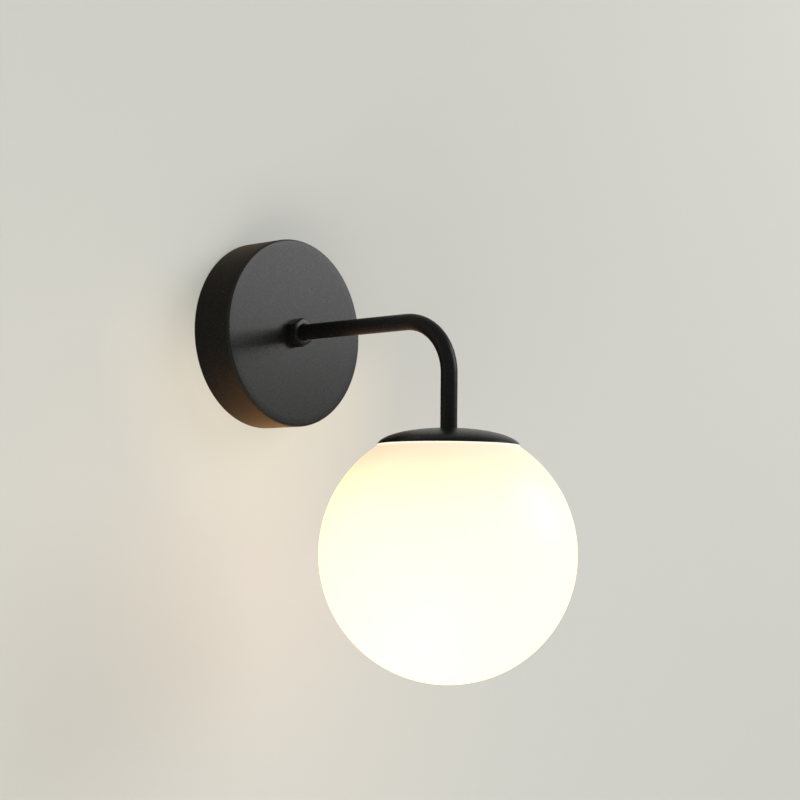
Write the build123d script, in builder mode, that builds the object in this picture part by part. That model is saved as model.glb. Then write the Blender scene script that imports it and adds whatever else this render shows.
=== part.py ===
from build123d import *
import os
from math import acos, degrees, sqrt

# Globe wall sconce: a round canopy on the wall carries a bent tube, the tube's lower end
# carries a shallow cap, and an opal glass globe hangs from spring clips under the cap, over
# a lampholder and its bulb.
# Frame: the origin is the centre of the canopy's back on the wall plane, +Z is up and the
# lamp reaches out along -Y. A depth is a distance out from the wall, so depth 30 is y = -30.

os.makedirs("parts", exist_ok=True)

# ------------------------------------------------------------------ driving dimensions (mm)
# Canopy, a spun steel cup
canopy_radius = 60.0
canopy_depth = 30.0
canopy_wall = 1.2
canopy_edge_radius = 1.5

# Arm tube, threaded at the canopy and tapped for the nipple at the cap
arm_reach = 155.0
tube_radius = 5.0
tube_bore_radius = 3.5
bend_radius = 33.0
drop_leg = 32.0
tube_tail = 4.2
thread_clearance = 0.05

# Cap and globe
cap_radius = 42.0
cap_rise = 11.0
cap_wall = 1.0
globe_radius = 75.0
glass_wall = 3.0
mouth_cover = 5.0
mouth_clearance = 0.4
mouth_edge_radius = 0.9
seat_ring_thickness = 0.5
glass_gap = 0.3

# Wall bracket, a bent strap
strap_width = 22.0
strap_thickness = 1.5
strap_bend_radius = 1.5
ear_length = 18.0
ear_gap = 0.4
slot_spacing = 70.0
slot_length = 12.0
slot_width = 4.5
cable_hole_radius = 7.0
grub_depth = 12.0
grub_radius = 2.0
grub_length = 6.0

# Clamping stacks
front_nut_thickness = 7.0
inner_nut_thickness = 4.0
washer_thickness = 0.8
tag_thickness = 0.8
clip_plate_radius = 17.0
clip_plate_thickness = 1.0
nipple_nut_thickness = 3.0
nipple_insert = 12.0
nipple_thread_depth = 0.5
nipple_wall = 1.2

# Leaf springs
clip_count = 3
clip_width = 8.0
clip_thickness = 0.5
clip_bulge = 1.2
rivet_radius = 1.5

# Lampholder for the 27 mm lamp thread
holder_radius = 19.0
holder_wall = 2.0
holder_neck_radius = 7.5
holder_neck = 6.0
insert_drop = 18.0
insert_thickness = 6.0
shell_length = 26.5
lamp_pitch = 3.629
lamp_core_radius = 12.0
lamp_ridge_radius = 13.1
socket_bore_radius = 13.4
socket_ridge_radius = 12.4
thread_turns = 4.0

# Bulb
bulb_radius = 22.5
bulb_length = 76.0
bulb_wall = 1.2
lamp_shell_wall = 0.6
lamp_shell_length = 21.5
fit_clearance = 0.05
body_gap = 0.3

# Wires and terminals
wire_radius = 1.1
wire_gap = 0.4
entry_bore_radius = 1.25
block_z = 18.0
block_pitch = 10.0
block_length = 20.0
block_width = 18.0
block_height = 12.0
earth_z = -17.5

# ------------------------------------------------------------------------- derived levels
wall_axis = Axis((0, 0, 0), (0, 1, 0))
lamp_axis = Axis((0, -arm_reach, 0), (0, 0, 1))
# Turning plane for pieces round the wall axis: local x is the radius, local y the depth.
turning_plane = Plane(origin=(0, 0, 0), x_dir=(1, 0, 0), z_dir=(0, 0, -1))


def wall_level(depth, height=0.0):
    """Plane parallel to the wall at a depth, facing outwards, with its origin at a height."""
    return Plane(origin=(0, -depth, height), x_dir=(1, 0, 0), z_dir=(0, -1, 0))


def lamp_level(height):
    """Level plane at a height, facing up, with its origin on the lamp axis."""
    return Plane(origin=(0, -arm_reach, height))


lamp_plane = wall_level(arm_reach)


def ellipse_height(radius, half_width, rise):
    """Height of a half-ellipse dome over its base plane at a radius."""
    return rise * sqrt(1 - (radius / half_width) ** 2)


def sphere_height(radius, sphere_radius):
    """Height of a sphere's surface over its centre at a radius."""
    return sqrt(sphere_radius ** 2 - radius ** 2)


cap_inner_radius = cap_radius - cap_wall
cap_inner_rise = cap_rise - cap_wall
cap_flat_radius = tube_radius + 2.0
cap_top_z = -(bend_radius + drop_leg)
cap_base_z = cap_top_z - ellipse_height(cap_flat_radius, cap_radius, cap_rise)
cap_under_z = cap_base_z + ellipse_height(cap_flat_radius, cap_inner_radius, cap_inner_rise)
globe_z = cap_base_z - sphere_height(cap_radius, globe_radius)
glass_inner_radius = globe_radius - glass_wall

# The mouth is the widest hidden one, or wider where the glass would meet the dome.
mouth_radius = cap_inner_radius - mouth_cover
while (
    mouth_radius < cap_inner_radius - 2.0
    and cap_base_z + ellipse_height(mouth_radius, cap_inner_radius, cap_inner_rise)
    < globe_z + sphere_height(mouth_radius, globe_radius) + mouth_clearance
):
    mouth_radius += 0.1
mouth_top_z = globe_z + sphere_height(mouth_radius, globe_radius)
mouth_under_z = globe_z + sphere_height(mouth_radius, glass_inner_radius)

# Depths of the stack that clamps the tube in the canopy
canopy_inside = canopy_depth - canopy_wall
tag_depth = canopy_inside - tag_thickness
inner_washer_depth = tag_depth - washer_thickness
inner_nut_depth = inner_washer_depth - inner_nut_thickness
tube_end_depth = inner_nut_depth - tube_tail
tube_hole_radius = tube_radius + 0.2
bushing_flange = 1.2
bushing_depth = tube_end_depth - bushing_flange

# Levels of the stack under the cap
nipple_radius = tube_bore_radius + nipple_thread_depth
nipple_hole_radius = nipple_radius + 0.1
nipple_bore_radius = nipple_radius - nipple_wall
plate_top_z = cap_base_z - 0.25 + ellipse_height(clip_plate_radius, cap_inner_radius, cap_inner_rise)
plate_z = plate_top_z - clip_plate_thickness
nipple_washer_z = plate_z - washer_thickness
nipple_nut_z = nipple_washer_z - nipple_nut_thickness
holder_top_z = nipple_nut_z - body_gap
holder_neck_z = holder_top_z - holder_neck
nipple_end_z = holder_neck_z - 0.4
insert_top_z = holder_top_z - insert_drop
insert_z = insert_top_z - insert_thickness
holder_rim_z = insert_z - shell_length
contact_z = insert_z - 1.8
bulb_top_z = contact_z - body_gap
bulb_bottom_z = bulb_top_z - bulb_length
cavity_radius = holder_radius - holder_wall

# Wires run side by side in the tube, one above the other.
wire_offset = wire_radius + wire_gap / 2
lower_offset = -wire_offset
upper_offset = wire_offset
entry_depth = strap_thickness + block_height / 2

# ------------------------------------------------------------------------------ wall side
ear_z = sqrt((canopy_radius - canopy_wall) ** 2 - (strap_width / 2) ** 2) - ear_gap
ear_inner_z = ear_z - strap_thickness

with BuildPart() as wall_bracket:
    with BuildSketch(Plane.YZ):
        with BuildLine():
            FilletPolyline(
                (-ear_length, ear_z),
                (0, ear_z),
                (0, -ear_z),
                (-ear_length, -ear_z),
                radius=strap_bend_radius + strap_thickness,
            )
            Line((-ear_length, -ear_z), (-ear_length, -ear_inner_z))
            FilletPolyline(
                (-ear_length, -ear_inner_z),
                (-strap_thickness, -ear_inner_z),
                (-strap_thickness, ear_inner_z),
                (-ear_length, ear_inner_z),
                radius=strap_bend_radius,
            )
            Line((-ear_length, ear_inner_z), (-ear_length, ear_z))
        make_face()
    extrude(amount=strap_width / 2, both=True)
    with BuildSketch(Plane.XZ):
        with Locations((0, slot_spacing / 2), (0, -slot_spacing / 2)):
            SlotOverall(slot_length, slot_width, rotation=90)
        Circle(cable_hole_radius)
        with Locations((0, block_z)):
            Circle(1.5)
        with Locations((0, earth_z)):
            Circle(2.0)
    extrude(amount=strap_thickness, mode=Mode.SUBTRACT)
    with Locations((0, -grub_depth, 0)):
        Cylinder(grub_radius, 2 * ear_z + 2, mode=Mode.SUBTRACT)
wall_bracket.part.label = "wall_bracket"
export_step(wall_bracket.part, "parts/wall_bracket.step")

with BuildPart() as canopy:
    with BuildSketch(turning_plane) as canopy_profile:
        with BuildLine():
            Polyline(
                (tube_hole_radius, canopy_depth),
                (canopy_radius, canopy_depth),
                (canopy_radius, 0),
                (canopy_radius - canopy_wall, 0),
                (canopy_radius - canopy_wall, canopy_inside),
                (tube_hole_radius, canopy_inside),
                close=True,
            )
        make_face()
        outer_corner = canopy_profile.vertices().sort_by_distance((canopy_radius, canopy_depth))[0]
        fillet(outer_corner, radius=canopy_edge_radius)
        inner_corner = canopy_profile.vertices().sort_by_distance(
            (canopy_radius - canopy_wall, canopy_inside)
        )[0]
        fillet(inner_corner, radius=canopy_edge_radius / 2)
    revolve(axis=wall_axis)
    with Locations((0, -grub_depth, 0)):
        Cylinder(grub_radius + 0.2, 2 * canopy_radius + 2, mode=Mode.SUBTRACT)
canopy.part.label = "canopy"
export_step(canopy.part, "parts/canopy.step")

# Two flush socket screws turn outwards from the ears into the canopy's side holes.
grub_top_z = canopy_radius - 0.2
with BuildPart() as canopy_grub_screws:
    with BuildSketch(Plane.XY.offset(grub_top_z)):
        with Locations((0, -grub_depth)):
            Circle(grub_radius - thread_clearance)
    extrude(amount=-grub_length)
    chamfer(canopy_grub_screws.edges().group_by(Axis.Z)[0], length=0.5)
    with BuildSketch(Plane.XY.offset(grub_top_z)):
        with Locations((0, -grub_depth)):
            RegularPolygon(radius=1.0, side_count=6, major_radius=False)
    extrude(amount=-2.0, mode=Mode.SUBTRACT)
    mirror(about=Plane.XY)
canopy_grub_screws.part.label = "canopy_grub_screws"
export_step(canopy_grub_screws.part, "parts/canopy_grub_screws.step")


def hex_nut(plane, across_flats, thickness, hole_radius):
    """Hexagon nut with both faces coned at the corners, standing on the plane."""
    corner = across_flats / sqrt(3)
    flat = across_flats / 2 * 0.97
    bevel = (corner - flat) * 0.55
    with BuildSketch(plane) as outline:
        RegularPolygon(radius=across_flats / 2, side_count=6, major_radius=False, rotation=30)
    extrude(outline.sketch, amount=thickness)
    cone_plane = Plane(origin=plane.origin, x_dir=plane.x_dir, z_dir=plane.y_dir * -1)
    with BuildSketch(cone_plane) as cone:
        with BuildLine():
            Polyline(
                (0, 0),
                (flat, 0),
                (corner + 0.01, bevel),
                (corner + 0.01, thickness - bevel),
                (flat, thickness),
                (0, thickness),
                close=True,
            )
        make_face()
    revolve(cone.sketch, axis=Axis(plane.origin, plane.z_dir), mode=Mode.INTERSECT)
    with BuildSketch(plane) as hole:
        Circle(hole_radius)
    extrude(hole.sketch, amount=thickness, mode=Mode.SUBTRACT)


def flat_washer(plane, outer_radius, hole_radius, thickness):
    """Plain ring standing on the plane."""
    with BuildSketch(plane) as ring:
        Circle(outer_radius)
        Circle(hole_radius, mode=Mode.SUBTRACT)
    extrude(ring.sketch, amount=thickness)


with BuildPart() as front_nut:
    hex_nut(
        wall_level(canopy_depth),
        2 * tube_radius + 6.0,
        front_nut_thickness,
        tube_radius + thread_clearance,
    )
front_nut.part.label = "front_nut"
export_step(front_nut.part, "parts/front_nut.step")

with BuildPart() as inner_nut:
    hex_nut(
        wall_level(inner_nut_depth),
        2 * tube_radius + 4.0,
        inner_nut_thickness,
        tube_radius + thread_clearance,
    )
inner_nut.part.label = "inner_nut"
export_step(inner_nut.part, "parts/inner_nut.step")

# Toothed lock washer: a ring with slanting slots round its edge
lock_washer_radius = tube_radius + 3.5
with BuildPart() as lock_washer:
    flat_washer(
        wall_level(inner_washer_depth),
        lock_washer_radius,
        tube_radius + thread_clearance,
        washer_thickness,
    )
    with BuildSketch(wall_level(inner_washer_depth)):
        with PolarLocations(lock_washer_radius, 12):
            Rectangle(2.4, 1.0, rotation=20)
    extrude(amount=washer_thickness, mode=Mode.SUBTRACT)
lock_washer.part.label = "lock_washer"
export_step(lock_washer.part, "parts/lock_washer.step")


barrel_radius = wire_radius + 0.75
barrel_length = 6.0


def crimp_barrel(start_x, centre_depth, height_z, length):
    """Crimp barrel of a terminal: a tube along +X for the earth wire, opened through the tongue."""
    with BuildSketch(Plane.YZ.offset(start_x)) as barrel:
        with Locations((-centre_depth, height_z)):
            Circle(barrel_radius)
    extrude(barrel.sketch, amount=length)
    with BuildSketch(Plane.YZ.offset(start_x)) as barrel_bore:
        with Locations((-centre_depth, height_z)):
            Circle(wire_radius + 0.15)
    extrude(barrel_bore.sketch, amount=length, mode=Mode.SUBTRACT)


tag_ring_radius = tube_radius + 4.0
tag_barrel_x = tag_ring_radius + 3.0
tag_barrel_depth = canopy_inside - barrel_radius
with BuildPart() as earth_tag:
    with BuildSketch(wall_level(tag_depth)):
        Circle(tag_ring_radius)
        with Locations(((tag_barrel_x + 1.0) / 2, 0)):
            Rectangle(tag_barrel_x + 1.0, 2 * wire_radius + 1.0)
        Circle(tube_radius + thread_clearance, mode=Mode.SUBTRACT)
    extrude(amount=tag_thickness)
    crimp_barrel(tag_barrel_x, tag_barrel_depth, 0, barrel_length)
earth_tag.part.label = "earth_tag"
export_step(earth_tag.part, "parts/earth_tag.step")

ring_radius = 4.0
ring_barrel_x = ring_radius + 2.0
ring_barrel_depth = strap_thickness + barrel_radius
with BuildPart() as earth_ring:
    with BuildSketch(wall_level(strap_thickness)):
        with Locations((0, earth_z)):
            Circle(ring_radius)
        with Locations(((ring_barrel_x + 1.0) / 2, earth_z)):
            Rectangle(ring_barrel_x + 1.0, 2 * wire_radius + 1.0)
        with Locations((0, earth_z)):
            Circle(2.1, mode=Mode.SUBTRACT)
    extrude(amount=tag_thickness)
    crimp_barrel(ring_barrel_x, ring_barrel_depth, earth_z, barrel_length)
earth_ring.part.label = "earth_ring"
export_step(earth_ring.part, "parts/earth_ring.step")

earth_stack_depth = strap_thickness + tag_thickness
with BuildPart() as earth_washer:
    flat_washer(
        wall_level(earth_stack_depth, earth_z),
        3.8,
        2.1,
        washer_thickness,
    )
earth_washer.part.label = "earth_washer"
export_step(earth_washer.part, "parts/earth_washer.step")


def pan_screw(head_plane, shank_radius, shank_length, head_radius, head_height, slot_width=0.8):
    """Slotted pan-head screw: the head stands on the plane and the shank goes down from it."""
    with BuildSketch(head_plane) as head:
        Circle(head_radius)
    extrude(head.sketch, amount=head_height)
    crown = faces().sort_by(Axis(head_plane.origin, head_plane.z_dir))[-1]
    fillet(crown.edges(), radius=head_height / 3)
    with BuildSketch(head_plane) as shank:
        Circle(shank_radius)
    extrude(shank.sketch, amount=-shank_length)
    with BuildSketch(head_plane.offset(head_height / 2)) as slot:
        Rectangle(2.2 * head_radius, slot_width)
    extrude(slot.sketch, amount=head_height, mode=Mode.SUBTRACT)


earth_head_depth = earth_stack_depth + washer_thickness
with BuildPart() as earth_screw:
    pan_screw(
        wall_level(earth_head_depth, earth_z),
        2.0 - thread_clearance,
        earth_head_depth,
        3.6,
        2.4,
    )
earth_screw.part.label = "earth_screw"
export_step(earth_screw.part, "parts/earth_screw.step")

# Two-pole screw terminal block on the strap, wires entering from the sides
pole_levels = [block_z - block_pitch / 2, block_z + block_pitch / 2]
clamp_radius = 2.4
clamp_length = 14.0
clamp_screw_x = clamp_length / 2 - 3.0
fixing_head_depth = entry_depth + clamp_radius + 0.3
with BuildPart() as terminal_block:
    with BuildSketch(wall_level(strap_thickness)):
        with Locations((0, block_z)):
            RectangleRounded(block_width, block_length, 1.0)
    extrude(amount=block_height)
    fillet(terminal_block.faces().sort_by(Axis.Y)[0].edges(), radius=0.8)
    with BuildSketch(Plane.YZ):
        for pole_z in pole_levels:
            with Locations((-entry_depth, pole_z)):
                Circle(clamp_radius + 0.1)
    extrude(amount=block_width, both=True, mode=Mode.SUBTRACT)
    with BuildSketch(wall_level(entry_depth)):
        for pole_z in pole_levels:
            with Locations((clamp_screw_x, pole_z), (-clamp_screw_x, pole_z)):
                Circle(1.8)
    extrude(amount=block_height, mode=Mode.SUBTRACT)
    with BuildSketch(wall_level(strap_thickness)):
        with Locations((0, block_z)):
            Circle(1.6)
    extrude(amount=block_height, mode=Mode.SUBTRACT)
    with BuildSketch(wall_level(fixing_head_depth)):
        with Locations((0, block_z)):
            Circle(2.7)
    extrude(amount=block_height, mode=Mode.SUBTRACT)
terminal_block.part.label = "terminal_block"
export_step(terminal_block.part, "parts/terminal_block.step")

with BuildPart() as terminal_clamps:
    with BuildSketch(Plane.YZ.offset(-clamp_length / 2)):
        for pole_z in pole_levels:
            with Locations((-entry_depth, pole_z)):
                Circle(clamp_radius)
                Circle(entry_bore_radius, mode=Mode.SUBTRACT)
    extrude(amount=clamp_length)
    with BuildSketch(wall_level(entry_depth)):
        for pole_z in pole_levels:
            with Locations((clamp_screw_x, pole_z), (-clamp_screw_x, pole_z)):
                Circle(1.4)
    extrude(amount=clamp_radius + 1, mode=Mode.SUBTRACT)
terminal_clamps.part.label = "terminal_clamps"
export_step(terminal_clamps.part, "parts/terminal_clamps.step")

with BuildPart() as terminal_clamp_screws:
    with BuildSketch(wall_level(entry_depth + entry_bore_radius)):
        for pole_z in pole_levels:
            with Locations((clamp_screw_x, pole_z), (-clamp_screw_x, pole_z)):
                Circle(1.4 - thread_clearance)
    extrude(amount=3.6)
    with BuildSketch(wall_level(entry_depth + entry_bore_radius + 2.6)):
        for pole_z in pole_levels:
            with Locations((clamp_screw_x, pole_z), (-clamp_screw_x, pole_z)):
                Rectangle(3.0, 0.6)
    extrude(amount=1.0, mode=Mode.SUBTRACT)
terminal_clamp_screws.part.label = "terminal_clamp_screws"
export_step(terminal_clamp_screws.part, "parts/terminal_clamp_screws.step")

with BuildPart() as terminal_block_screw:
    pan_screw(
        wall_level(fixing_head_depth, block_z),
        1.5 - thread_clearance,
        fixing_head_depth,
        2.4,
        1.8,
    )
terminal_block_screw.part.label = "terminal_block_screw"
export_step(terminal_block_screw.part, "parts/terminal_block_screw.step")

# --------------------------------------------------------------------------- arm and cap
with BuildPart() as arm_tube:
    with BuildLine() as arm_route:
        FilletPolyline(
            (0, -tube_end_depth, 0),
            (0, -arm_reach, 0),
            (0, -arm_reach, cap_top_z),
            radius=bend_radius,
        )
    with BuildSketch(wall_level(tube_end_depth)):
        Circle(tube_radius)
    sweep(path=arm_route.line)
    with BuildSketch(wall_level(tube_end_depth)):
        Circle(tube_bore_radius)
    sweep(path=arm_route.line, mode=Mode.SUBTRACT)
    with BuildSketch(lamp_level(cap_top_z)):
        Circle(nipple_radius + thread_clearance)
    extrude(amount=nipple_insert, mode=Mode.SUBTRACT)
    threaded_end = arm_tube.faces().sort_by(Axis.Y)[-1].edges().sort_by(SortBy.RADIUS)[-1]
    chamfer(threaded_end, length=0.4)
arm_tube.part.label = "arm_tube"
export_step(arm_tube.part, "parts/arm_tube.step")

# Cable bushing pressed into the tube's inner end
bushing_bore_radius = tube_bore_radius - 0.8
with BuildPart() as tube_bushing:
    with BuildSketch(turning_plane):
        with BuildLine():
            Polyline(
                (bushing_bore_radius, bushing_depth),
                (tube_radius, bushing_depth),
                (tube_radius, tube_end_depth),
                (tube_bore_radius - fit_clearance, tube_end_depth),
                (tube_bore_radius - fit_clearance, tube_end_depth + 5.0),
                (bushing_bore_radius, tube_end_depth + 5.0),
                close=True,
            )
        make_face()
    revolve(axis=wall_axis)
    fillet(tube_bushing.faces().sort_by(Axis.Y)[-1].edges(), radius=0.5)
tube_bushing.part.label = "tube_bushing"
export_step(tube_bushing.part, "parts/tube_bushing.step")

# Hollow threaded nipple: brazed into the tube, it carries everything under the cap
with BuildPart() as end_nipple:
    with BuildSketch(lamp_level(nipple_end_z)):
        Circle(nipple_radius)
        Circle(nipple_bore_radius, mode=Mode.SUBTRACT)
    extrude(amount=cap_top_z + nipple_insert - nipple_end_z)
    chamfer(end_nipple.faces().sort_by(Axis.Z)[0].edges().sort_by(SortBy.RADIUS)[-1], length=0.4)
end_nipple.part.label = "end_nipple"
export_step(end_nipple.part, "parts/end_nipple.step")

# Spun cap: two half-ellipses a wall apart, flat where the tube lands, its rim cut to the globe
rim_sphere_radius = globe_radius + glass_gap + seat_ring_thickness


def rim_radius(half_width, rise):
    """Radius at which a half-ellipse dome comes down to the rim sphere, found by halving."""
    inner, outer = mouth_radius, half_width
    for _ in range(50):
        middle = (inner + outer) / 2
        dome_z = cap_base_z + ellipse_height(middle, half_width, rise)
        if dome_z > globe_z + sphere_height(middle, rim_sphere_radius):
            inner = middle
        else:
            outer = middle
    return inner


def dome_arc(half_width, rise):
    """Elliptical arc of the cap's section, from the rim to the flat on top."""
    rim_angle = degrees(acos(rim_radius(half_width, rise) / half_width))
    flat_angle = degrees(acos(cap_flat_radius / half_width))
    return EllipticalCenterArc(
        (0, cap_base_z), half_width, rise, start_angle=rim_angle, arc_size=flat_angle - rim_angle
    )


rim_middle = (rim_radius(cap_radius, cap_rise) + rim_radius(cap_inner_radius, cap_inner_rise)) / 2
with BuildPart() as globe_cap:
    with BuildSketch(lamp_plane):
        with BuildLine():
            outer_dome = dome_arc(cap_radius, cap_rise)
            inner_dome = dome_arc(cap_inner_radius, cap_inner_rise)
            Polyline(
                outer_dome @ 1,
                (nipple_hole_radius, cap_top_z),
                (nipple_hole_radius, cap_under_z),
                inner_dome @ 1,
            )
            ThreePointArc(
                outer_dome @ 0,
                (rim_middle, globe_z + sphere_height(rim_middle, rim_sphere_radius)),
                inner_dome @ 0,
            )
        make_face()
    revolve(axis=lamp_axis)
globe_cap.part.label = "globe_cap"
export_step(globe_cap.part, "parts/globe_cap.step")

# Soft seat ring between the cap's rim and the glass
seat_outer_radius = cap_radius - 0.3
seat_inner_radius = cap_inner_radius - 2.4
with BuildPart() as seat_ring:
    with BuildSketch(lamp_plane):
        with Locations((0, globe_z)):
            Circle(rim_sphere_radius)
            Circle(rim_sphere_radius - seat_ring_thickness, mode=Mode.SUBTRACT)
        with Locations(((seat_outer_radius + seat_inner_radius) / 2, globe_z + globe_radius / 2)):
            Rectangle(seat_outer_radius - seat_inner_radius, globe_radius, mode=Mode.INTERSECT)
    revolve(axis=lamp_axis)
seat_ring.part.label = "seat_ring"
export_step(seat_ring.part, "parts/seat_ring.step")

with BuildPart() as cap_spacer:
    flat_washer(
        lamp_level(plate_top_z),
        cap_flat_radius - 0.5,
        nipple_hole_radius,
        cap_under_z - plate_top_z,
    )
cap_spacer.part.label = "cap_spacer"
export_step(cap_spacer.part, "parts/cap_spacer.step")

# -------------------------------------------------------------------- clip plate and clips
rivet_circle_radius = 13.2
with BuildPart() as clip_plate:
    with BuildSketch(lamp_level(plate_z)):
        Circle(clip_plate_radius)
        Circle(nipple_hole_radius, mode=Mode.SUBTRACT)
        with PolarLocations(rivet_circle_radius, clip_count, start_angle=90):
            Circle(rivet_radius, mode=Mode.SUBTRACT)
    extrude(amount=clip_plate_thickness)
clip_plate.part.label = "clip_plate"
export_step(clip_plate.part, "parts/clip_plate.step")

# Leaf spring in section: out under the plate, down through the mouth, a bulge that catches
# the glass from inside, and a lead-in back towards the axis.
clip_top_z = plate_z - clip_thickness / 2
clip_route = [
    (clip_plate_radius - 7.5, clip_top_z),
    (clip_plate_radius + 1.0, clip_top_z),
    (mouth_radius - 2.8, mouth_top_z),
    (mouth_radius - 1.8, mouth_under_z + 0.95),
    (mouth_radius + clip_bulge, mouth_under_z - 3.05),
    (mouth_radius - 3.0, mouth_under_z - 8.85),
]


def radial_plane(angle):
    """Upright plane through the lamp axis: local x runs outwards at the angle, local y is up."""
    outwards = Vector(1, 0, 0).rotate(Axis.Z, angle)
    return Plane(origin=(0, -arm_reach, 0), x_dir=outwards, z_dir=outwards.cross(Vector(0, 0, 1)))


clip_angles = [90 + 360 / clip_count * number for number in range(clip_count)]
with BuildPart() as spring_clips:
    with BuildSketch(*[radial_plane(angle) for angle in clip_angles]):
        with BuildLine():
            FilletPolyline(*clip_route, radius=[1.0, 1.0, 0.8, 1.2])
        trace(line_width=clip_thickness)
    extrude(amount=clip_width / 2, both=True)
    with BuildSketch(lamp_level(plate_z)):
        with PolarLocations(rivet_circle_radius, clip_count, start_angle=90):
            Circle(rivet_radius)
    extrude(amount=-2 * clip_thickness, mode=Mode.SUBTRACT)
spring_clips.part.label = "spring_clips"
export_step(spring_clips.part, "parts/spring_clips.step")

rivet_head_radius = 2.4
with BuildPart() as clip_rivets:
    with BuildSketch(lamp_level(plate_z - clip_thickness)):
        with PolarLocations(rivet_circle_radius, clip_count, start_angle=90):
            Circle(rivet_radius - thread_clearance)
    extrude(amount=clip_thickness + clip_plate_thickness)
    with BuildSketch(lamp_level(plate_z - clip_thickness)):
        with PolarLocations(rivet_circle_radius, clip_count, start_angle=90):
            Circle(rivet_head_radius)
    extrude(amount=-0.9)
    fillet(clip_rivets.edges().group_by(Axis.Z)[0], radius=0.5)
    with BuildSketch(lamp_level(plate_top_z)):
        with PolarLocations(rivet_circle_radius, clip_count, start_angle=90):
            Circle(rivet_radius + 0.5)
    extrude(amount=0.25)
clip_rivets.part.label = "clip_rivets"
export_step(clip_rivets.part, "parts/clip_rivets.step")

with BuildPart() as nipple_washer:
    flat_washer(
        lamp_level(nipple_washer_z),
        nipple_radius + 3.6,
        nipple_hole_radius,
        washer_thickness,
    )
nipple_washer.part.label = "nipple_washer"
export_step(nipple_washer.part, "parts/nipple_washer.step")

with BuildPart() as nipple_nut:
    hex_nut(
        lamp_level(nipple_nut_z),
        2 * nipple_radius + 4.0,
        nipple_nut_thickness,
        nipple_radius + thread_clearance,
    )
nipple_nut.part.label = "nipple_nut"
export_step(nipple_nut.part, "parts/nipple_nut.step")

# ----------------------------------------------------------------------------- lampholder
holder_shoulder_z = holder_neck_z - 5.0
holder_roof_z = holder_neck_z - holder_wall
lock_screw_z = holder_top_z - holder_neck / 2
lock_radius = 1.5
with BuildPart() as holder_cap:
    with BuildSketch(lamp_plane):
        with BuildLine():
            Polyline(
                (nipple_hole_radius, holder_top_z),
                (holder_neck_radius, holder_top_z),
                (holder_neck_radius, holder_neck_z),
                (holder_radius, holder_shoulder_z),
                (holder_radius, insert_z - 3.0),
                (cavity_radius, insert_z - 3.0),
                (cavity_radius, holder_shoulder_z - 0.5),
                (holder_neck_radius - 1.0, holder_roof_z),
                (nipple_hole_radius, holder_roof_z),
                close=True,
            )
        make_face()
    revolve(axis=lamp_axis)
    fillet(holder_cap.edges().filter_by(GeomType.CIRCLE).sort_by(Axis.Z)[-1], radius=0.1)
    outer_rim = holder_cap.edges().filter_by(GeomType.CIRCLE).sort_by_distance(
        (holder_radius, -arm_reach, holder_shoulder_z)
    )[0]
    fillet(outer_rim, radius=1.5)
    with BuildSketch(lamp_plane):
        with Locations((0, lock_screw_z)):
            Circle(lock_radius)
    extrude(amount=holder_neck_radius + 1, mode=Mode.SUBTRACT)
holder_cap.part.label = "holder_cap"
export_step(holder_cap.part, "parts/holder_cap.step")

lock_head_y = holder_neck_radius + 1.2
with BuildPart() as holder_lock_screw:
    with BuildSketch(lamp_plane.offset(nipple_radius + thread_clearance)):
        with Locations((0, lock_screw_z)):
            Circle(lock_radius - thread_clearance)
    extrude(amount=lock_head_y - nipple_radius)
    with BuildSketch(lamp_plane.offset(lock_head_y - 0.6)):
        with Locations((0, lock_screw_z)):
            Rectangle(4.0, 0.6)
    extrude(amount=2.0, mode=Mode.SUBTRACT)
holder_lock_screw.part.label = "holder_lock_screw"
export_step(holder_lock_screw.part, "parts/holder_lock_screw.step")

# Insulating insert: a disc clamped between holder cap and shell
post_reach = 8.0
post_size = 5.0
post_height = 4.5
side_leaf_radius = lamp_core_radius + body_gap
side_leaf_thickness = 0.4
insert_radius = cavity_radius - 0.1
with BuildPart() as holder_insert:
    with BuildSketch(lamp_level(insert_z)):
        Circle(insert_radius)
    extrude(amount=insert_thickness)
    chamfer(holder_insert.faces().sort_by(Axis.Z)[-1].edges(), length=0.8)
    with BuildSketch(lamp_level(insert_z)):
        Circle(1.6)
        with Locations((0, -side_leaf_radius - side_leaf_thickness / 2)):
            Rectangle(4.4, side_leaf_thickness + 0.2)
    extrude(amount=insert_thickness, mode=Mode.SUBTRACT)
holder_insert.part.label = "holder_insert"
export_step(holder_insert.part, "parts/holder_insert.step")

# Brass posts on the insert take the two wires, each with a clamp screw across it.
with BuildPart() as holder_terminals:
    with BuildSketch(lamp_level(insert_top_z)):
        with Locations((0, post_reach), (0, -post_reach)):
            Rectangle(post_size, post_size)
    extrude(amount=post_height)
    chamfer(holder_terminals.edges().filter_by(Axis.Z), length=0.5)
    with BuildSketch(lamp_level(insert_top_z + 1.0)):
        with Locations((0, post_reach), (0, -post_reach)):
            Circle(entry_bore_radius)
    extrude(amount=post_height, mode=Mode.SUBTRACT)
    with BuildSketch(Plane.YZ):
        with Locations(
            (-arm_reach + post_reach, insert_top_z + post_height / 2),
            (-arm_reach - post_reach, insert_top_z + post_height / 2),
        ):
            Circle(1.2)
    extrude(amount=post_size, mode=Mode.SUBTRACT)
holder_terminals.part.label = "holder_terminals"
export_step(holder_terminals.part, "parts/holder_terminals.step")

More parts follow.
